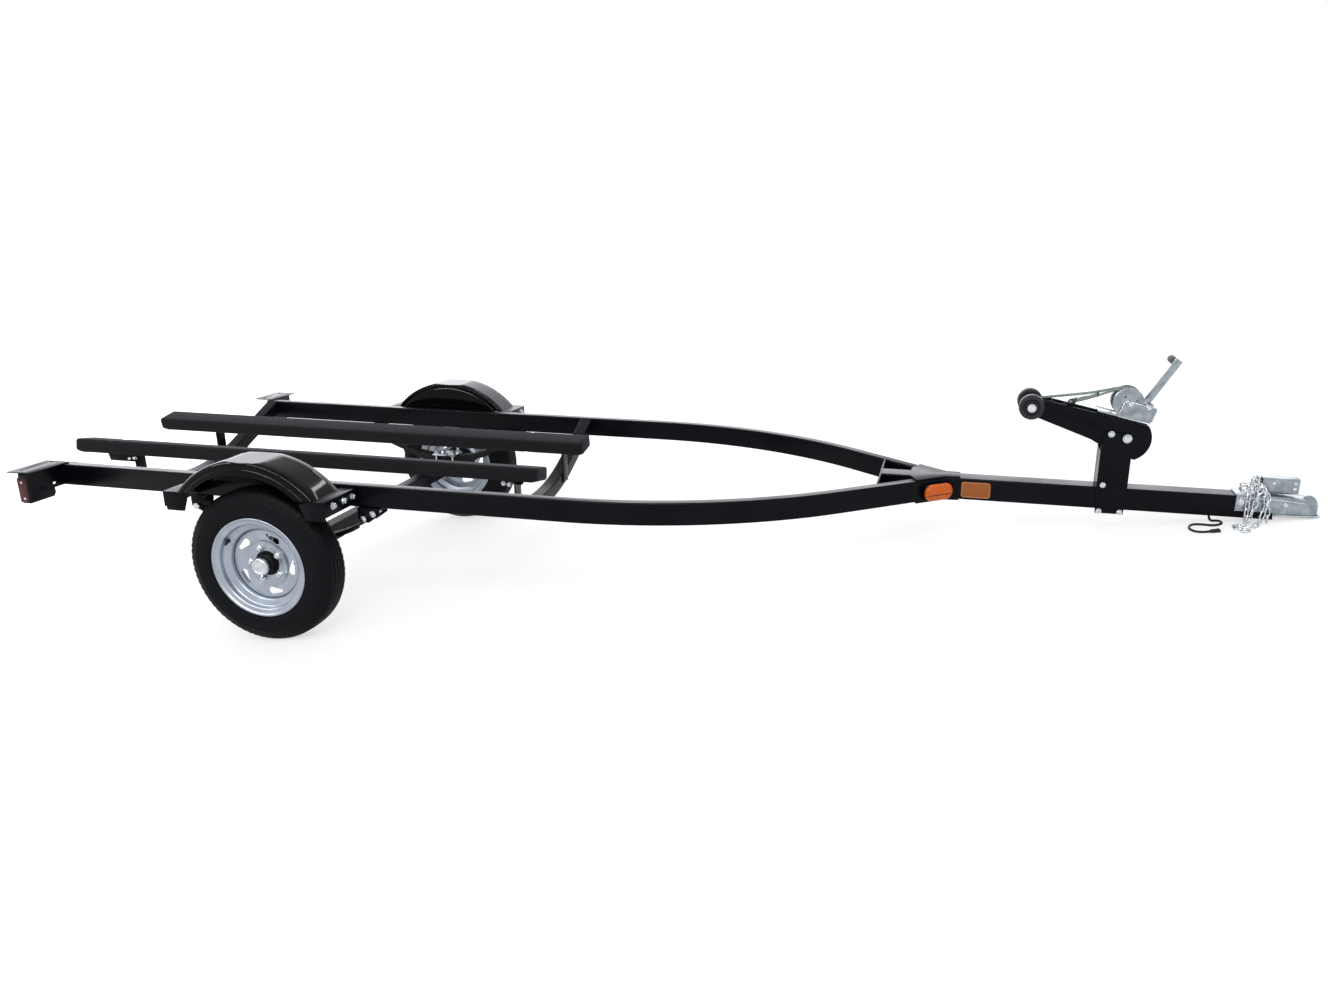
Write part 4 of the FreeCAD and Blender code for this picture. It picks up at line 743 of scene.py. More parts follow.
def makeWheel(side):
    w = wheelShape
    out = wheelSide(side)
    mesh = lathe("wheel_" + side + "_pressed", wheelOutline, w["segments"], out, studBoss)
    piece = addPiece("wheel_" + side + "_pressed", mesh, silver, "wheel_" + side, 24, None)
    outlines = [windowOutline(k) for k in range(5)]
    for x, z in studSpots():
        outlines.append([(x + w["studHole"] * math.cos(a),
                          z + w["studHole"] * math.sin(a)) for a in circle(18)])
    work = bmesh.new()
    for outline in outlines:
        skin(work, [[work.verts.new((x, y, z)) for x, z in outline] for y in (out(-80), out(120))])
    bmesh.ops.recalc_face_normals(work, faces=work.faces)
    cutAway(piece, work, 38, 0.9)
    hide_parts("wheel_rim_" + side)


def makeShadeRing(side):
    # A dark ring of painted shade in the gap where disc and rim meet
    out = wheelSide(side)
    profile = [(123.6, 7.4), (124.4, 9.3), (126.4, 9.6), (128.2, 15.4), (127.0, 15.4), (125.2, 8.2),
               (124.2, 7.0)]
    ring = lathe("wheel_shade_ring_" + side, profile + [profile[0]], 160, out)
    addPiece("wheel_shade_ring_" + side, ring, springBlack, "wheel_" + side, 40)


# Hub: black painted nose in the wheel's hole and a zinc dust cap
def makeHub(side):
    out = wheelSide(side)
    noseOutline = [(0.01, -73), (35, -73), (36, -72), (36, -12), (38, -10.3), (69, -10.3), (70, -9),
                   (70, -0.9), (69, -0.4), (35, -0.4), (34, 1.5), (34, 21), (32.5, 22.8), (30.2, 23),
                   (30, 40), (28, 42), (0.01, 42)]
    nose = lathe("hub_" + side + "_nose", noseOutline, 72, out)
    piece = addPiece("hub_" + side + "_nose", nose, springBlack, "wheel_" + side, 30)
    capOutline = [(28, 40), (30, 40.2), (31.2, 41), (31.4, 43.4), (30.9, 45.6), (29.6, 48.4), (27.4, 50.8),
                  (24.6, 52.2), (21.6, 52.5), (20.2, 52), (19.4, 51), (18, 50.8), (11, 51.6), (0.01, 52.2)]
    cap = lathe("dust_cap_" + side, capOutline, 64, out)
    addPiece("dust_cap_" + side, cap, zinc, "wheel_" + side, 26)
    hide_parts("hub_" + side)


def makeValve(side):
    # Snap-in rubber valve with its plastic cap, leaning in from the rim's well
    outline = [(0.01, 0), (8.6, 0), (8.8, 2.2), (7.4, 4.4), (5.6, 7.6), (4.9, 17), (4.3, 19), (4.6, 19.6),
               (4.6, 28.6), (3.8, 29.8), (0.01, 30)]
    angle, radius = math.radians(wheelShape["valve"][0]), wheelShape["valve"][1]
    mesh = lathe("valve_" + side, outline, 24)
    inward = (-0.34 * math.sin(angle), sides[side] * 0.94, -0.34 * math.cos(angle))
    standOn(mesh, ((radius + 4) * math.sin(angle), wheelSide(side)(26), (radius + 4) * math.cos(angle)),
            inward)
    addPiece("valve_" + side, mesh, softRubber, "wheel_" + side, 40)


for side in sides:
    makeTyre(side)
    makeWheel(side)
    makeShadeRing(side)
    makeHub(side)
    makeValve(side)
print("wheels made")


# Repeated fasteners and links, by Geometry Nodes
def startTree(name, sizes):
    tree = bpy.data.node_groups.new(name, "GeometryNodeTree")
    tree.interface.new_socket("Geometry", in_out="INPUT", socket_type="NodeSocketGeometry")
    for label, size in sizes.items():
        tree.interface.new_socket(label, in_out="INPUT", socket_type="NodeSocketFloat").default_value = size
    tree.interface.new_socket("Finish", in_out="INPUT", socket_type="NodeSocketMaterial")
    tree.interface.new_socket("Geometry", in_out="OUTPUT", socket_type="NodeSocketGeometry")
    return tree, addNode(tree, "NodeGroupInput").outputs


def turnedOwn(tree, rotation, angle):
    # The rotation after a turn by angle about its own Z
    about = addNode(tree, "ShaderNodeCombineXYZ", None, {"Z": angle})
    local = addNode(tree, "FunctionNodeEulerToRotation", None, {0: about.outputs[0]})
    return addNode(tree, "FunctionNodeRotateRotation", None, {0: rotation, 1: local.outputs[0]},
                   rotation_space="LOCAL").outputs[0]


def endTree(tree, points, instance, rotation, finish):
    # The instance on every point, made real and given its finish
    placed = addNode(tree, "GeometryNodeInstanceOnPoints", None,
                     {"Points": points, "Instance": instance, "Rotation": rotation})
    real = addNode(tree, "GeometryNodeRealizeInstances", None, {0: placed.outputs[0]})
    done = addNode(tree, "GeometryNodeSetMaterial", None, {"Geometry": real.outputs[0], "Material": finish})
    addNode(tree, "NodeGroupOutput", None, {0: done.outputs[0]})
    return tree


def grow(name, mesh, tree, settings, body, sharp=32):
    # Runs the tree on the mesh, keeps the result as a plain mesh and rides it on its body
    piece = bpy.data.objects.new(name, mesh)
    scene.collection.objects.link(piece)
    growth = piece.modifiers.new("grow", "NODES")
    growth.node_group = tree
    for item in tree.interface.items_tree:
        if item.in_out == "INPUT" and item.name in settings:
            growth[item.identifier] = settings[item.name]
    finished(piece, sharp)
    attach(piece, body)
    return piece


def boltTree():
    # A hexagon head with a domed top on a washer, one on each point, facing along the point's own direction
    tree, g = startTree("hexBolts", {"Head Radius": 0.009, "Head Height": 0.006, "Washer Radius": 0.012,
                                     "Washer Height": 0.0016, "Thread Radius": 0.0045,
                                     "Thread Length": 0.004})
    solids, half = {}, {}
    for part, high, vertices in (("Head", "Head Height", 6), ("Washer", "Washer Height", 28),
                                 ("Thread", "Thread Length", 16)):
        solids[part] = addNode(tree, "GeometryNodeMeshCylinder", {"Vertices": vertices},
                               {"Radius": g[part + " Radius"], "Depth": g[high]}).outputs["Mesh"]
        half[part] = maths(tree, "MULTIPLY", g[high], 0.5)
    dome = addNode(tree, "GeometryNodeMeshCone", {"Vertices": 28}, {
        "Radius Top": maths(tree, "MULTIPLY", g["Head Radius"], 0.72),
        "Radius Bottom": maths(tree, "MULTIPLY", g["Head Radius"], 0.93),
        "Depth": maths(tree, "MULTIPLY", g["Head Height"], 0.28)})
    bolt = addNode(tree, "GeometryNodeJoinGeometry")
    for part, lift, *more in ((solids["Washer"], half["Washer"]),
                              (solids["Head"], g["Washer Height"], half["Head"]),
                              (dome.outputs["Mesh"], g["Washer Height"], g["Head Height"]),
                              (solids["Thread"], g["Washer Height"], g["Head Height"], half["Thread"])):
        for height in more:
            lift = maths(tree, "ADD", lift, height)
        shift = addNode(tree, "ShaderNodeCombineXYZ", None, {"Z": lift})
        raised = addNode(tree, "GeometryNodeTransform", None,
                         {"Geometry": part, "Translation": shift.outputs[0]})
        tree.links.new(raised.outputs[0], bolt.inputs[0])
    facing = addNode(tree, "GeometryNodeInputNamedAttribute", {"Name": "facing"}, data_type="FLOAT_VECTOR")
    turn = addNode(tree, "FunctionNodeAlignRotationToVector", None, {"Vector": facing.outputs[0]}, axis="Z")
    spin = addNode(tree, "FunctionNodeRandomValue", {"Min": 0.0, "Max": 1.0, "Seed": 7}, data_type="FLOAT")
    return endTree(tree, g["Geometry"], bolt.outputs[0], turnedOwn(tree, turn.outputs[0], spin.outputs[1]),
                   g["Finish"])


hexBolts = boltTree()

# Bolts by size, as (head radius, head height, washer radius, thread radius), and where they sit on both sides
boltSizes = {"medium": (9.5, 6.5, 13.0, 5.0), "nut": (11.2, 9.0, 12.4, 6.0), "bunk": (6.5, 4.5, 8.6, 3.6),
             "arm": (11.6, 8.0, 14.8, 6.4), "tip": (8.6, 7.0, 10.8, 5.2), "post": (7.6, 5.4, 9.6, 4.2),
             "winch": (7.2, 5.0, 9.4, 4.4), "rivet": (4.4, 2.8, 5.6, 2.4), "screw": (3.4, 1.8, 4.6, 1.6)}
ahead, back, outward = (1, 0, 0), (-1, 0, 0), (0, -1, 0)
frameRows = {
    "bracket_bolts": ("medium", [(297.0, -753, 235, ahead), (297.0, -690, 234, ahead),
                                 (297.0, -640, 234, ahead), (-297.0, -753, 235, back),
                                 (-297.0, -690, 234, back), (-888.0, -600, 232, back)]),
    "bunk_bolts": ("bunk", [(-905.0, -259.0, 196, outward), (-883.0, -259.0, 199, outward),
                            (688.0, -259.0, 196, outward), (666.0, -259.0, 199, outward)])}
frontRows = {
    "tongue_bolts": ("medium", [(3199.3, -41.9, 247, outward)]),
    "winch_bolts": ("winch", [(2813.9, -39.7, 554.8, outward), (2873.1, -39.7, 544.4, outward)]),
    "latch_rivets": ("rivet", [(x, -17.2, z, outward) for x, z in ((3297, 309), (3362, 311), (3362, 294))])}
# Bolts through the bow stand, as (x, z, shank radius, size), and half the width that they clamp
standHalf = 43.0
standBolts = [(2817.0, 438.6, 8.0, "arm"), (2765.0, 451.6, 8.0, "tip"), (2752.0, 181.7, 4.5, "post"),
              (2820.0, 181.7, 4.5, "post"), (2756.0, 274.2, 4.5, "post")]


def boltsAt(name, places, size, body="frame"):
    # places are (x, y, z, (direction)) in the level trailer's millimetres
    mesh = bpy.data.meshes.new(name)
    mesh.from_pydata([onFrame(x, y, z) for x, y, z, way in places], [], [])
    facing = mesh.attributes.new("facing", "FLOAT_VECTOR", "POINT")
    for k, place in enumerate(places):
        facing.data[k].vector = leanTurn.to_3x3() @ Vector(place[3])
    head, height, washer, thread = boltSizes[size]
    return grow(name, mesh, hexBolts, {"Head Radius": head / 1000, "Head Height": height / 1000,
                                       "Washer Radius": washer / 1000, "Washer Height": 0.0016,
                                       "Thread Radius": thread / 1000, "Thread Length": thread / 1000 * 0.9,
                                       "Finish": zinc}, body)


def bothSides(places):
    return places + [(x, -y, z, (way[0], -way[1], way[2])) for x, y, z, way in places]


def makeRows(rows):
    for name, (size, places) in rows.items():
        boltsAt(name, bothSides(places), size)


def makeFasteners():
    for side, sign in sides.items():
        studs = [(x, wheelSide(side)(5.2), z, (0, sign, 0)) for x, z in studSpots()]
        nuts = boltsAt("lug_nuts_" + side + "_plated", studs, "nut", "wheel_" + side)
        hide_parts("lug_nuts_" + side)
    makeRows(frameRows)
    half = standHalf
    for k, (x, z, shank, size) in enumerate(standBolts):
        heads = boltsAt("stand_bolt_heads_%d" % k, bothSides([(x, -half, z, outward)]), size)
        bar = lathe("stand_bolt_shank_%d" % k, [(0.01, -half), (shank, -half), (shank, half), (0.01, half)],
                    20)
        bar.transform(Matrix.Translation((x, 0, z)))
        rod = addPiece("stand_bolt_shank_%d" % k, bar, zinc, "frame", 40)
        for piece in (heads, rod):
            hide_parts("stand_bolts")
    makeRows(frontRows)


makeFasteners()
print("fasteners placed")


# Bunks: boards wrapped in carpet, folded in at their ends
bunkShape = {"width": 99.0, "thickness": 53.0, "corner": 12.0, "rear": -1130.0, "front": 805.0, "y": 230.0,
             "z": 232.5, "tilt": 10.4, "step": 12.0, "wave": 0.5, "fold": 60.0,
             "ends": [(0, 0.86), (0.8, 0.93), (3, 0.985)], "seam": {"left": 560.0, "right": -980.0}}


def makeBunk(side):
    b = bunkShape
    sign = sides[side]
    chance = random.Random(11 if side == "left" else 12)
    stations = [(b["rear"] + inset, scale) for inset, scale in b["ends"]]
    x = b["rear"] + b["step"]
    while x < b["front"] - 6:
        stations.append((x, 1.0))
        x += b["step"]
    stations += [(b["front"] - inset, scale) for inset, scale in reversed(b["ends"])]
    tilt = math.radians(b["tilt"]) * sign
    lift = [chance.uniform(-1, 1) * b["wave"] for k in range(len(stations))]
    section = roundRing(b["width"] / 2, b["thickness"] / 2, b["corner"], 4)
    rings = []
    for (x, scale), wave in zip(stations, lift):
        ring = []
        seam = abs(x - b["seam"][side]) < b["step"] * 0.6
        push = 1 - (0.05 if seam else 0) + wave / 300
        # The carpet folded under thickens each end below, and is drawn up at the very end
        end = min(x - b["rear"], b["front"] - x)
        for u, v in section:
            u, v = u * scale * push, v * scale * push
            if v < 0:
                v *= 0.8 + 0.25 * min(1, end / 26) if end < 26 else 1 + 0.05 * max(0, 1 - end / b["fold"])
            y = u * math.cos(tilt) - v * math.sin(tilt)
            z = u * math.sin(tilt) + v * math.cos(tilt)
            ring.append((x, sign * b["y"] + y, b["z"] + z))
        rings.append(ring)
    name = "bunk_" + side + "_carpet"
    piece = addPiece(name, skinned(name, rings), carpet, "frame", 60)
    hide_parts("bunk_" + side)


for side in sides:
    makeBunk(side)
print("bunks carpeted")


# Fenders: rolled sheet with a flat top, beads along the skirt and a turned edge
fenderShape = {"radius": 330.0, "middle": 45.0, "wall": 2.6, "width": 151.0, "inner": 650.5, "end": 257.0,
               "flat": 368.5, "skirt": 287.0, "segments": 92, "crease": 11.4, "creaseShare": 0.25}


def makeFender(side):
    f = fenderShape
    sign = sides[side]
    r, w, b = f["radius"], f["width"], f["skirt"]
    # From the foot of the back plate by the rail, over its two beads, across the top and down the skirt
    outline = [(0, -9.5), (r - 27, -9.5), (r - 25, -8.8), (r - 22, -6.4), (r - 19, -5.8), (r - 16, -6.6),
               (r - 13, -8.4), (r - 9, -8.8), (r - 5, -7.4), (r - 2, -4.4), (r, 0), (r, 20), (r, 60),
               (r, 100), (r, w - 27), (r - 1.2, w - 21), (r - 3.5, w - 16), (r - 7, w - 11.6),
               (r - 11, w - 9), (r - 15, w - 7.2), (r - 19, w - 6.5), (r - 21, w - 7.1), (r - 23, w - 8),
               (r - 25, w - 7.4), (r - 27, w - 5.5), (r - 30, w - 3), (b + 11, w - 2), (b + 8, w - 1.6),
               (b + 5, w - 0.5), (b + 3, w), (b, w)]
    crease = math.radians(f["crease"])
    part = f["creaseShare"]
    rings = []
    for k in range(f["segments"] + 1):
        t = 2 * k / f["segments"] - 1
        ring = []
        for radius, across in outline:
            foot = not radius
            radius = radius or r - 27
            stop = math.acos((f["end"] - f["middle"]) / radius)
            if abs(t) < part:
                angle = crease * abs(t) / part
            else:
                angle = crease + (abs(t) - part) / (1 - part) * (stop - crease)
            angle = math.copysign(angle, t)
            z = f["end"] if foot else min(f["middle"] + radius * math.cos(angle), f["flat"])
            ring.append((radius * math.sin(angle), sign * (f["inner"] + across), z))
        rings.append(ring)
    # The right one's rings run the other way, so that both face down before they are turned over
    mesh = skinned("fender_" + side + "_sheet", rings[::sign], False)
    mesh.flip_normals()
    piece = addPiece("fender_" + side + "_sheet", mesh, gloss, "frame", 30, None, False)
    mesh.materials.append(springBlack)
    wall = piece.modifiers.new("wall", "SOLIDIFY")
    wall.thickness = f["wall"]
    wall.offset = -1
    wall.material_offset = 1
    finished(piece, 30, toFrame)
    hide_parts("fender_" + side)


for side in sides:
    makeFender(side)
print("fenders rolled")


# Lamps: a black housing with a red lens wrapped round its outer corner
lampShape = {"x": (-932.0, -888.0), "y": (640.0, 748.0), "z": (153.9, 261.9)}


def easedBox(name, xs, ys, zs, ease, material):
    work = bmesh.new()
    bmesh.ops.create_cube(work, size=1)
    for vert in work.verts:
        for k, span in enumerate((xs, sorted(ys), zs)):
            vert.co[k] = span[0] if vert.co[k] < 0 else span[1]
    bmesh.ops.bevel(work, geom=list(work.edges), offset=ease, segments=3, profile=0.5, affect="EDGES")
    return addPiece(name, meshFrom(work, name), material, "frame", 40)


def makeTailLamp(side):
    sign = sides[side]
    (x0, x1), (y0, y1), (z0, z1) = lampShape["x"], lampShape["y"], lampShape["z"]
    name = "tail_lamp_" + side
    housing = easedBox(name + "_housing", (x0 + 8, x1), (sign * y0, sign * (y1 - 1.4)), (z0, z1), 5.0,
                       plastic)
    easedBox(name + "_lens", (x0, x1 - 2), (sign * (y0 + 3), sign * y1), (z0 + 1.5, z1 - 15), 6.5, redLens)
    screws = [(-908.7, sign * (y1 + 0.2), 230.6, (0, sign, 0)),
              (-906.0, sign * (y1 + 0.2), 172.7, (0, sign, 0)),
              (x0 - 0.2, sign * (y0 + 22), 207.0, (-1, 0, 0)),
              (x0 - 0.2, sign * (y1 - 22), 207.0, (-1, 0, 0))]
    boltsAt(name + "_screws", screws, "screw")
    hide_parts("tail_lamp_" + side)


markerShape = {"meetX": 2232.39, "railY": 38.1, "turn": 38.5, "middle": -41.0, "z": 222.0, "straight": 29.0,
               "radius": 29.0, "step": -7.0,
               "rings": [(0, 16), (0, 21), (1.2, 24.6), (4, 27.6), (8, 29.6), (14, 30.8), (20, 31)],
               "stepRoute": [(-53, 24), (-50, 28), (-44, 30.4), (-30, 31), (0, 31), (30, 31), (44, 30.4),
                             (50, 28), (53, 24)]}


def markerPoint(side, along, out, up):
    m = markerShape
    turn = math.radians(m["turn"])
    along += m["middle"]
    x = m["meetX"] + along * math.cos(turn) + out * math.sin(turn)
    return (x, sides[side] * (m["railY"] - along * math.sin(turn) + out * math.cos(turn)), m["z"] + up)


def makeMarkerLens(side):
    # Oval domed lens with a moulded step along it; the step is drawn in a darker amber as painted shade
    m = markerShape
    rings = []
    for inset, out in m["rings"]:
        r = m["radius"] - inset
        ring = []
        for k in range(64):
            a = 2 * math.pi * (k + 0.5) / 64
            along = math.copysign(m["straight"], math.cos(a)) + r * math.cos(a)
            ring.append(markerPoint(side, along, out, r * math.sin(a)))
        rings.append(ring)
    name = "marker_lens_" + side + "_domed"
    lens = addPiece(name, skinned(name, rings), amberLens, "frame", 30)
    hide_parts("marker_lens_" + side)
    route = [markerPoint(side, along, out - 0.6, m["step"]) for along, out in m["stepRoute"]]
    # The step in darker amber, as painted shade along its groove
    addPipe("marker_step_shade_" + side, smoothLine(route), 1.9, 8, amberShadow)


# Moulded border that the reflector's prisms sit inside
reflectorEdge = {"middle": (2338.0, 226.8), "half": (47.8, 25.8), "corner": 7.5, "out": 43.6, "radius": 2.1}


def makeReflectorEdge(side):
    e = reflectorEdge
    x, z = e["middle"]
    route = [(x + u, sides[side] * e["out"], z + v) for u, v in roundRing(*e["half"], e["corner"], 6)]
    addPipe("reflector_edge_" + side, route, e["radius"], 8, reflexEdge, True)


for side in sides:
    makeTailLamp(side)
    softEdged("marker_base_" + side, plastic, 0.8)
    makeMarkerLens(side)
    makeReflectorEdge(side)
softEdged("side_reflectors", reflexAmber, 0.5)
print("lamps made")


# Bow rollers: moulded, with a hub ring and a dished face
rollerPlace = (2498.0, 0, 534.0)


def makeRoller(side):
    sign = sides[side]
    outline = [(8.3, 45), (24, 45), (26, 43), (28.4, 41.6), (36, 41.4), (39.6, 42.2), (41.6, 45.2), (42, 49),
               (42, 67), (41.6, 71), (39.6, 74), (36, 75), (28.4, 74.8), (26.6, 73), (25.4, 68), (23, 66.4),
               (16, 66.4), (14, 68), (12, 74.6), (8.3, 75), (8.3, 45)]
    mesh = lathe("bow_roller_" + side + "_moulded", outline, 72, lambda y: sign * y)
    mesh.transform(Matrix.Translation(rollerPlace))
    piece = addPiece("bow_roller_" + side + "_moulded", mesh, softRubber, "bow_roller_" + side, 34)
    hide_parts("bow_roller_" + side)


for side in sides:
    makeRoller(side)
print("rollers made")


# Safety chains: welded links, a quarter turn from one to the next; a tail's point is (x, y, z, whether z is
# above the floor)
chainShape = {"wire": 2.8, "inside": 25.0, "wide": 11.0, "pitch": 24.55, "round": 26.0, "boltX": 3281.0,
              "crossX": 3238.0, "half": 57.6, "top": 284.1, "end": 17.5,
              "lifts": {"right": 0.0, "left": 24.0}, "boltZ": 196.7,
              "tails": [[(3263, 8, 300, 0), (3250, 61, 304, 0), (3236, 62, 240, 0), (3226, 64, 196, 0),
                         (3214, 84, 9, 1), (3184, 92, 8, 1)],
                        [(3246, 14, 308, 0), (3262, 60, 300, 0), (3270, 63, 246, 0), (3262, 65, 202, 0),
                         (3250, 88, 9, 1), (3218, 116, 8, 1)]]}
hookShape = {"middle": (3194, 124), "scale": 1.1, "above": 5.5, "radius": 4.2,
             "route": [(0, 0), (-7, 9), (-4, 20), (7, 25), (17, 18), (15, 7), (6, 2), (-12, -4), (-20, -13),
                       (-17, -25), (-6, -29), (3, -23)]}


def chainCorners(side):
    c = chainShape
    sign = sides[side]
    x, y = c["crossX"], c["half"]
    top = c["top"] + c["lifts"][side]
    endX = x - 22
    return [(c["boltX"], sign * y, c["boltZ"]), (x + 36, sign * y, top - 6), (x + 9, sign * 20, top + 10),
            (x - 9, -sign * 20, top + 10), (x - 24, -sign * y, top - 6),
            (endX, -sign * y, floorUnder(endX) + c["end"])]


def chainTree():
    tree, g = startTree("chainLinks", {"Pitch": 0.02455, "Wire": 0.0028, "Link Length": 0.0278,
                                       "Link Width": 0.0138, "Corner": 0.026})
    route = addNode(tree, "GeometryNodeMeshToCurve", None, {"Mesh": g["Geometry"]})
    bend = addNode(tree, "GeometryNodeFilletCurve", {"Count": 8, "Limit Radius": True},
                   {"Curve": route.outputs[0], "Radius": g["Corner"]}, mode="POLY")
    spots = addNode(tree, "GeometryNodeCurveToPoints", None, {"Curve": bend.outputs[0], "Length": g["Pitch"]},
                    mode="LENGTH")
    outline = addNode(tree, "GeometryNodeCurvePrimitiveQuadrilateral", None,
                      {"Width": g["Link Width"], "Height": g["Link Length"]})
    soft = addNode(tree, "GeometryNodeFilletCurve", {"Count": 5},
                   {"Curve": outline.outputs[0], "Radius": maths(tree, "MULTIPLY", g["Link Width"], 0.49)},
                   mode="POLY")
    section = addNode(tree, "GeometryNodeCurvePrimitiveCircle", {"Resolution": 10}, {"Radius": g["Wire"]})
    link = addNode(tree, "GeometryNodeCurveToMesh", None,
                   {"Curve": soft.outputs[0], "Profile Curve": section.outputs[0]})
    upright = addNode(tree, "GeometryNodeTransform", {"Rotation": (math.pi / 2, 0, 0)},
                      {"Geometry": link.outputs[0]})
    index = addNode(tree, "GeometryNodeInputIndex")
    quarter = maths(tree, "MULTIPLY", maths(tree, "MODULO", index.outputs[0], 2.0), math.pi / 2)
    rotation = turnedOwn(tree, spots.outputs["Rotation"], quarter)
    return endTree(tree, spots.outputs["Points"], upright.outputs[0], rotation, g["Finish"])


def makeChainHook(side):
    # S-hook of round bar, lying where its chain ends
    h = hookShape
    route = []
    for dx, dy in h["route"]:
        x = h["middle"][0] + h["scale"] * dx
        route.append((x, sides[side] * (h["middle"][1] + h["scale"] * dy), floorUnder(x) + h["above"]))
    addPipe("chain_hook_" + side, smoothLine(route), h["radius"], 12, zinc)


def makeChains():
    c = chainShape
    runs = [chainCorners(side) for side in sides]
    for side, sign in sides.items():
        for tail in c["tails"]:
            runs.append([(x, sign * y, floorUnder(x) + z if low else z) for x, y, z, low in tail])
        makeChainHook(side)
    points, edges = [], []
    for run in runs:
        edges += [(len(points) + k, len(points) + k + 1) for k in range(len(run) - 1)]
        points += [onFrame(*corner) for corner in run]
    mesh = bpy.data.meshes.new("chainRoutes")
    mesh.from_pydata(points, edges, [])
    piece = grow("safety_chains_welded", mesh, chainTree(), {
        "Pitch": c["pitch"] / 1000, "Wire": c["wire"] / 1000, "Link Length": (c["inside"] + c["wire"]) / 1000,
        "Link Width": (c["wide"] + c["wire"]) / 1000, "Corner": c["round"] / 1000, "Finish": zinc}, "frame",
                 50)
    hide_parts("safety_chains")


makeChains()
print("chains hung")


# Winch rope: wound on the drum, taut to the rollers, its end doubled back to its hook
ropeShape = {"radius": 4.6, "coil": 40.0, "width": 31.0, "turns": 6, "twist": 26.0, "ringStep": 3.0,
             "strands": 3, "layRadius": 0.5, "strandRadius": 0.56,
             "taut": [(2528.0, -3, 557.0), (2620.0, -3, 570.5), (2701.0, -2, 582.5), (2778.0, 2, 602.5)],
             "wound": {"radius": 45, "angles": (-4, 22, 48, 74, 100)}}
ropeEnd = {"winch_rope_doubled": (4.2, [(2790.0, -7, 603.0), (2750.0, -9, 590.0), (2718.0, -7, 576.0),
                                        (2672.0, -7, 559.0), (2640.0, -6, 549.5), (2622.0, -5, 545.0)]),
           "winch_rope_bight": (3.8, [(2716.0, 6, 578.0), (2690.0, 8, 566.0), (2664.0, 6, 562.0),
                                      (2642.0, 2, 552.0), (2628.0, 3, 541.0)])}
seizing = {"at": (2634.0, 2642.0, 2712.0), "base": 549.0, "rise": 0.36, "loop": (1.6, 9.4, 8.6),
           "radius": 2.9}
ropeHook = {"route": [(2630, 0, 546), (2616, 0, 541), (2600, 0, 536), (2584, 0, 532.5), (2568, 0, 532),
                      (2560, 0, 538), (2562, 0, 546), (2572, 0, 549)], "radius": 3.8, "eye": (2629, 546, 8),
            "eyeRadius": 3.2}


def ropeMesh(name, points, radius):
    # Twisted strands round a smooth line; the UV runs along the rope
    r = ropeShape
    strands = r["strands"]
    route = smoothLine(points)
    lengths = [0]
    for a, b in zip(route, route[1:]):
        lengths.append(lengths[-1] + (b - a).length)
    total = lengths[-1]
    count = max(2, int(total / r["ringStep"]))
    work = bmesh.new()
    uvs = work.loops.layers.uv.new("alongRope")

    def at(d):
        for k in range(len(lengths) - 1):
            if d <= lengths[k + 1] or k == len(lengths) - 2:
                t = (d - lengths[k]) / (lengths[k + 1] - lengths[k])
                return route[k].lerp(route[k + 1], t), (route[k + 1] - route[k]).normalized()

    for s in range(strands):
        rings = []
        for k in range(count + 1):
            d = total * k / count
            middle, along = at(d)
            side = along.cross(Vector((0, 1, 0))).normalized()
            up = side.cross(along).normalized()
            a = 2 * math.pi * (s / strands + d / r["twist"])
            centre = middle + (side * math.cos(a) + up * math.sin(a)) * radius * r["layRadius"]
            wide = radius * r["strandRadius"]
            rings.append([work.verts.new(centre + (side * math.cos(b) + up * math.sin(b)) * wide)
                          for b in circle(6)])
        for face, k, n in skin(work, rings):
            for loop, (i, m) in zip(face.loops, ((k, n), (k, n + 1), (k + 1, n + 1), (k + 1, n))):
                loop[uvs].uv = (i * r["ringStep"] / 10 + s / strands, m / 6)
    return meshFrom(work, name)


def makeRope():
    r = ropeShape
    x, z = winchShape["drum"]
    width, turns = r["width"], r["turns"]
    coil = []
    for k in range(turns):
        middle = -width + (2 * k + 1) * width / turns
        for n in range(7):
            a = math.pi * n / 6
            coil.append((r["coil"] - 5.0 + 5.0 * math.sin(a), middle - math.cos(a) * width / turns * 0.98))
    mesh = lathe("rope_winding_turns", [(22.6, -width)] + coil + [(22.6, width), (22.6, -width)], 72)
    layer = mesh.uv_layers.new(name="alongRope")
    for polygon in mesh.polygons:
        for loop in polygon.loop_indices:
            co = mesh.vertices[mesh.loops[loop].vertex_index].co
            layer.data[loop].uv = (math.atan2(co.x, co.z) * 4.2, co.y / 10)
    mesh.transform(Matrix.Translation((x, 0, z)))
    piece = addPiece("rope_winding_turns", mesh, ropeWeave, "frame", 40)
    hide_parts("rope_winding")
    wound = [(x + r["wound"]["radius"] * math.sin(math.radians(a)), 4 - a / 14,
              z + r["wound"]["radius"] * math.cos(math.radians(a))) for a in r["wound"]["angles"]]
    taut = ropeMesh("winch_rope_twisted", r["taut"] + wound, r["radius"])
    piece = addPiece("winch_rope_twisted", taut, ropeWeave, "frame", 60)
    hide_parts("winch_rope")


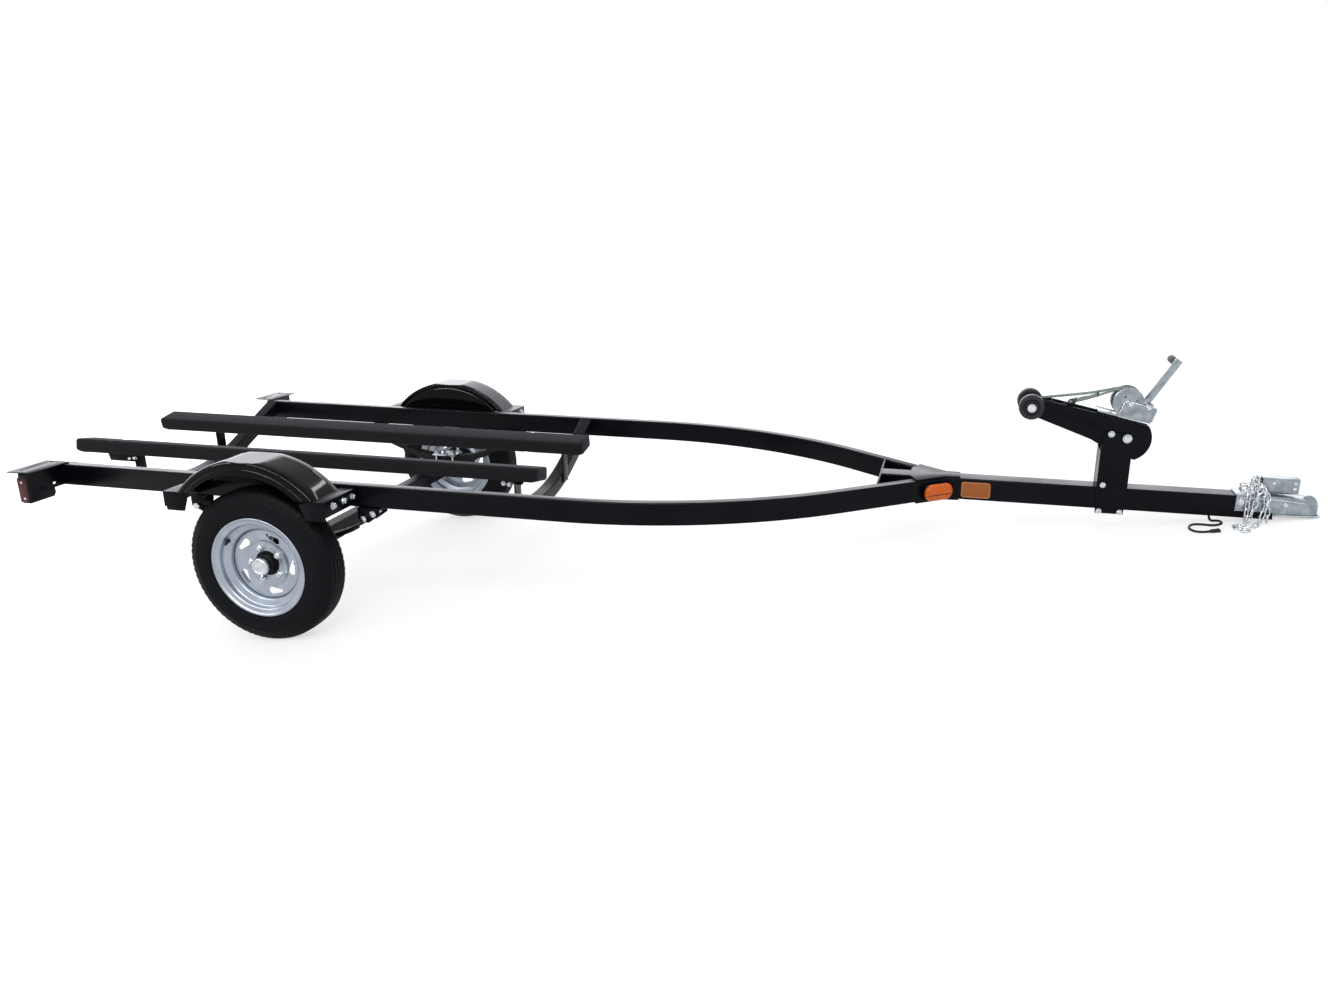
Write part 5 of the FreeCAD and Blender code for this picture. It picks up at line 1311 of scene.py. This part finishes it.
def makeRopeEnd():
    # The rope's end is doubled back and bound to its hook, which is clipped over the arm
    for name, (radius, route) in ropeEnd.items():
        addPiece(name, ropeMesh(name, route, radius), ropeWeave, "frame", 60)
    along, across, high = seizing["loop"]
    for k, x in enumerate(seizing["at"]):
        z = seizing["base"] + (x - seizing["at"][0]) * seizing["rise"]
        turn = [(x + along * math.sin(a), across * math.cos(a), z + high * math.sin(a)) for a in circle(14)]
        addPipe("rope_seizing_%d" % k, turn, seizing["radius"], 8, ropeWeave, True, 60)
    addPipe("rope_hook", smoothLine(ropeHook["route"]), ropeHook["radius"], 12, springBlack, False, 60)
    x, z, wide = ropeHook["eye"]
    eye = [(x + wide * math.cos(a), 0, z + wide * math.sin(a)) for a in circle(16)]
    addPipe("rope_hook_eye", eye, ropeHook["eyeRadius"], 10, springBlack, True, 60)


makeRope()
makeRopeEnd()
print("rope wound")


# Floor and light
# The floor is white paper; far from the trailer it glows to the camera, as the lit sweep behind it does
studio = {"floor": 40.0, "floorColour": "#c6c6c8", "sky": 0.62, "glow": 0.62, "clear": (2.6, 6.0),
          "tone": (0.91, 0.93, 1.0)}
# name, place, width, height, power; the glints show on shiny faces only
lamps = [("keyLamp", (1.5, -4.5, 4.2), 2.6, 2.0, 75.0), ("backLamp", (-3.0, 8.0, 3.4), 22.0, 4.6, 640.0),
         ("stripGlint", (-1.2, -2.6, 3.4), 8.0, 0.14, 200.0), ("rearGlint", (0.3, 2.4, 2.6), 2.4, 0.1, 15.0)]


def backdropRays(tree):
    # 1 for rays that see the white backdrop: the camera's, and those seen in metal and through lenses
    path = addNode(tree, "ShaderNodeLightPath").outputs
    mirror = maths(tree, "MAXIMUM", path["Is Camera Ray"], path["Is Glossy Ray"])
    return maths(tree, "MAXIMUM", mirror, path["Is Transmission Ray"])


def makeStudio():
    bpy.ops.mesh.primitive_plane_add(size=studio["floor"] * 2, location=(0, 0, 0))
    floor = bpy.context.object
    floor.name = "studioFloor"
    material, tree, shader, place = startMaterial("paleStudioFloor", studio["floorColour"], 0.85, 0.0, {
        "Specular IOR Level": 0.1, "Emission Color": (1, 1, 1, 1)})
    away = addNode(tree, "ShaderNodeVectorMath", None, {0: place}, operation="LENGTH")
    near, far = studio["clear"]
    sweep = addNode(tree, "ShaderNodeMapRange", {"From Min": near, "From Max": far, "To Min": studio["glow"],
                                                 "To Max": 1.0}, {"Value": away.outputs["Value"]},
                    interpolation_type="SMOOTHSTEP")
    lift = maths(tree, "MULTIPLY", backdropRays(tree), sweep.outputs["Result"])
    tree.links.new(lift, shader.inputs["Emission Strength"])
    floor.data.materials.append(material)
    world = bpy.data.worlds.new("studioWorld")
    scene.world = world
    world.use_nodes = True
    tree = world.node_tree
    tree.nodes.clear()
    lit = addNode(tree, "ShaderNodeBackground", {"Color": (1, 1, 1, 1), "Strength": studio["sky"]})
    seen = addNode(tree, "ShaderNodeBackground", {"Color": (1, 1, 1, 1), "Strength": 1.0})
    both = addNode(tree, "ShaderNodeMixShader", None,
                   {0: backdropRays(tree), 1: lit.outputs[0], 2: seen.outputs[0]})
    addNode(tree, "ShaderNodeOutputWorld", None, {"Surface": both.outputs[0]})
    for name, place, width, height, power in lamps:
        data = bpy.data.lights.new(name, "AREA")
        data.shape = "RECTANGLE"
        data.size = width
        data.size_y = height
        data.energy = power
        data.color = studio["tone"] if name == "backLamp" else (1, 1, 1)
        lamp = bpy.data.objects.new(name, data)
        lamp.location = place
        lamp.rotation_euler = (Vector((0, 0, 0.2)) - Vector(place)).to_track_quat("-Z", "Y").to_euler()
        lamp.visible_camera = False
        lamp.visible_diffuse = not name.endswith("Glint")
        scene.collection.objects.link(lamp)


makeStudio()
print("studio made")
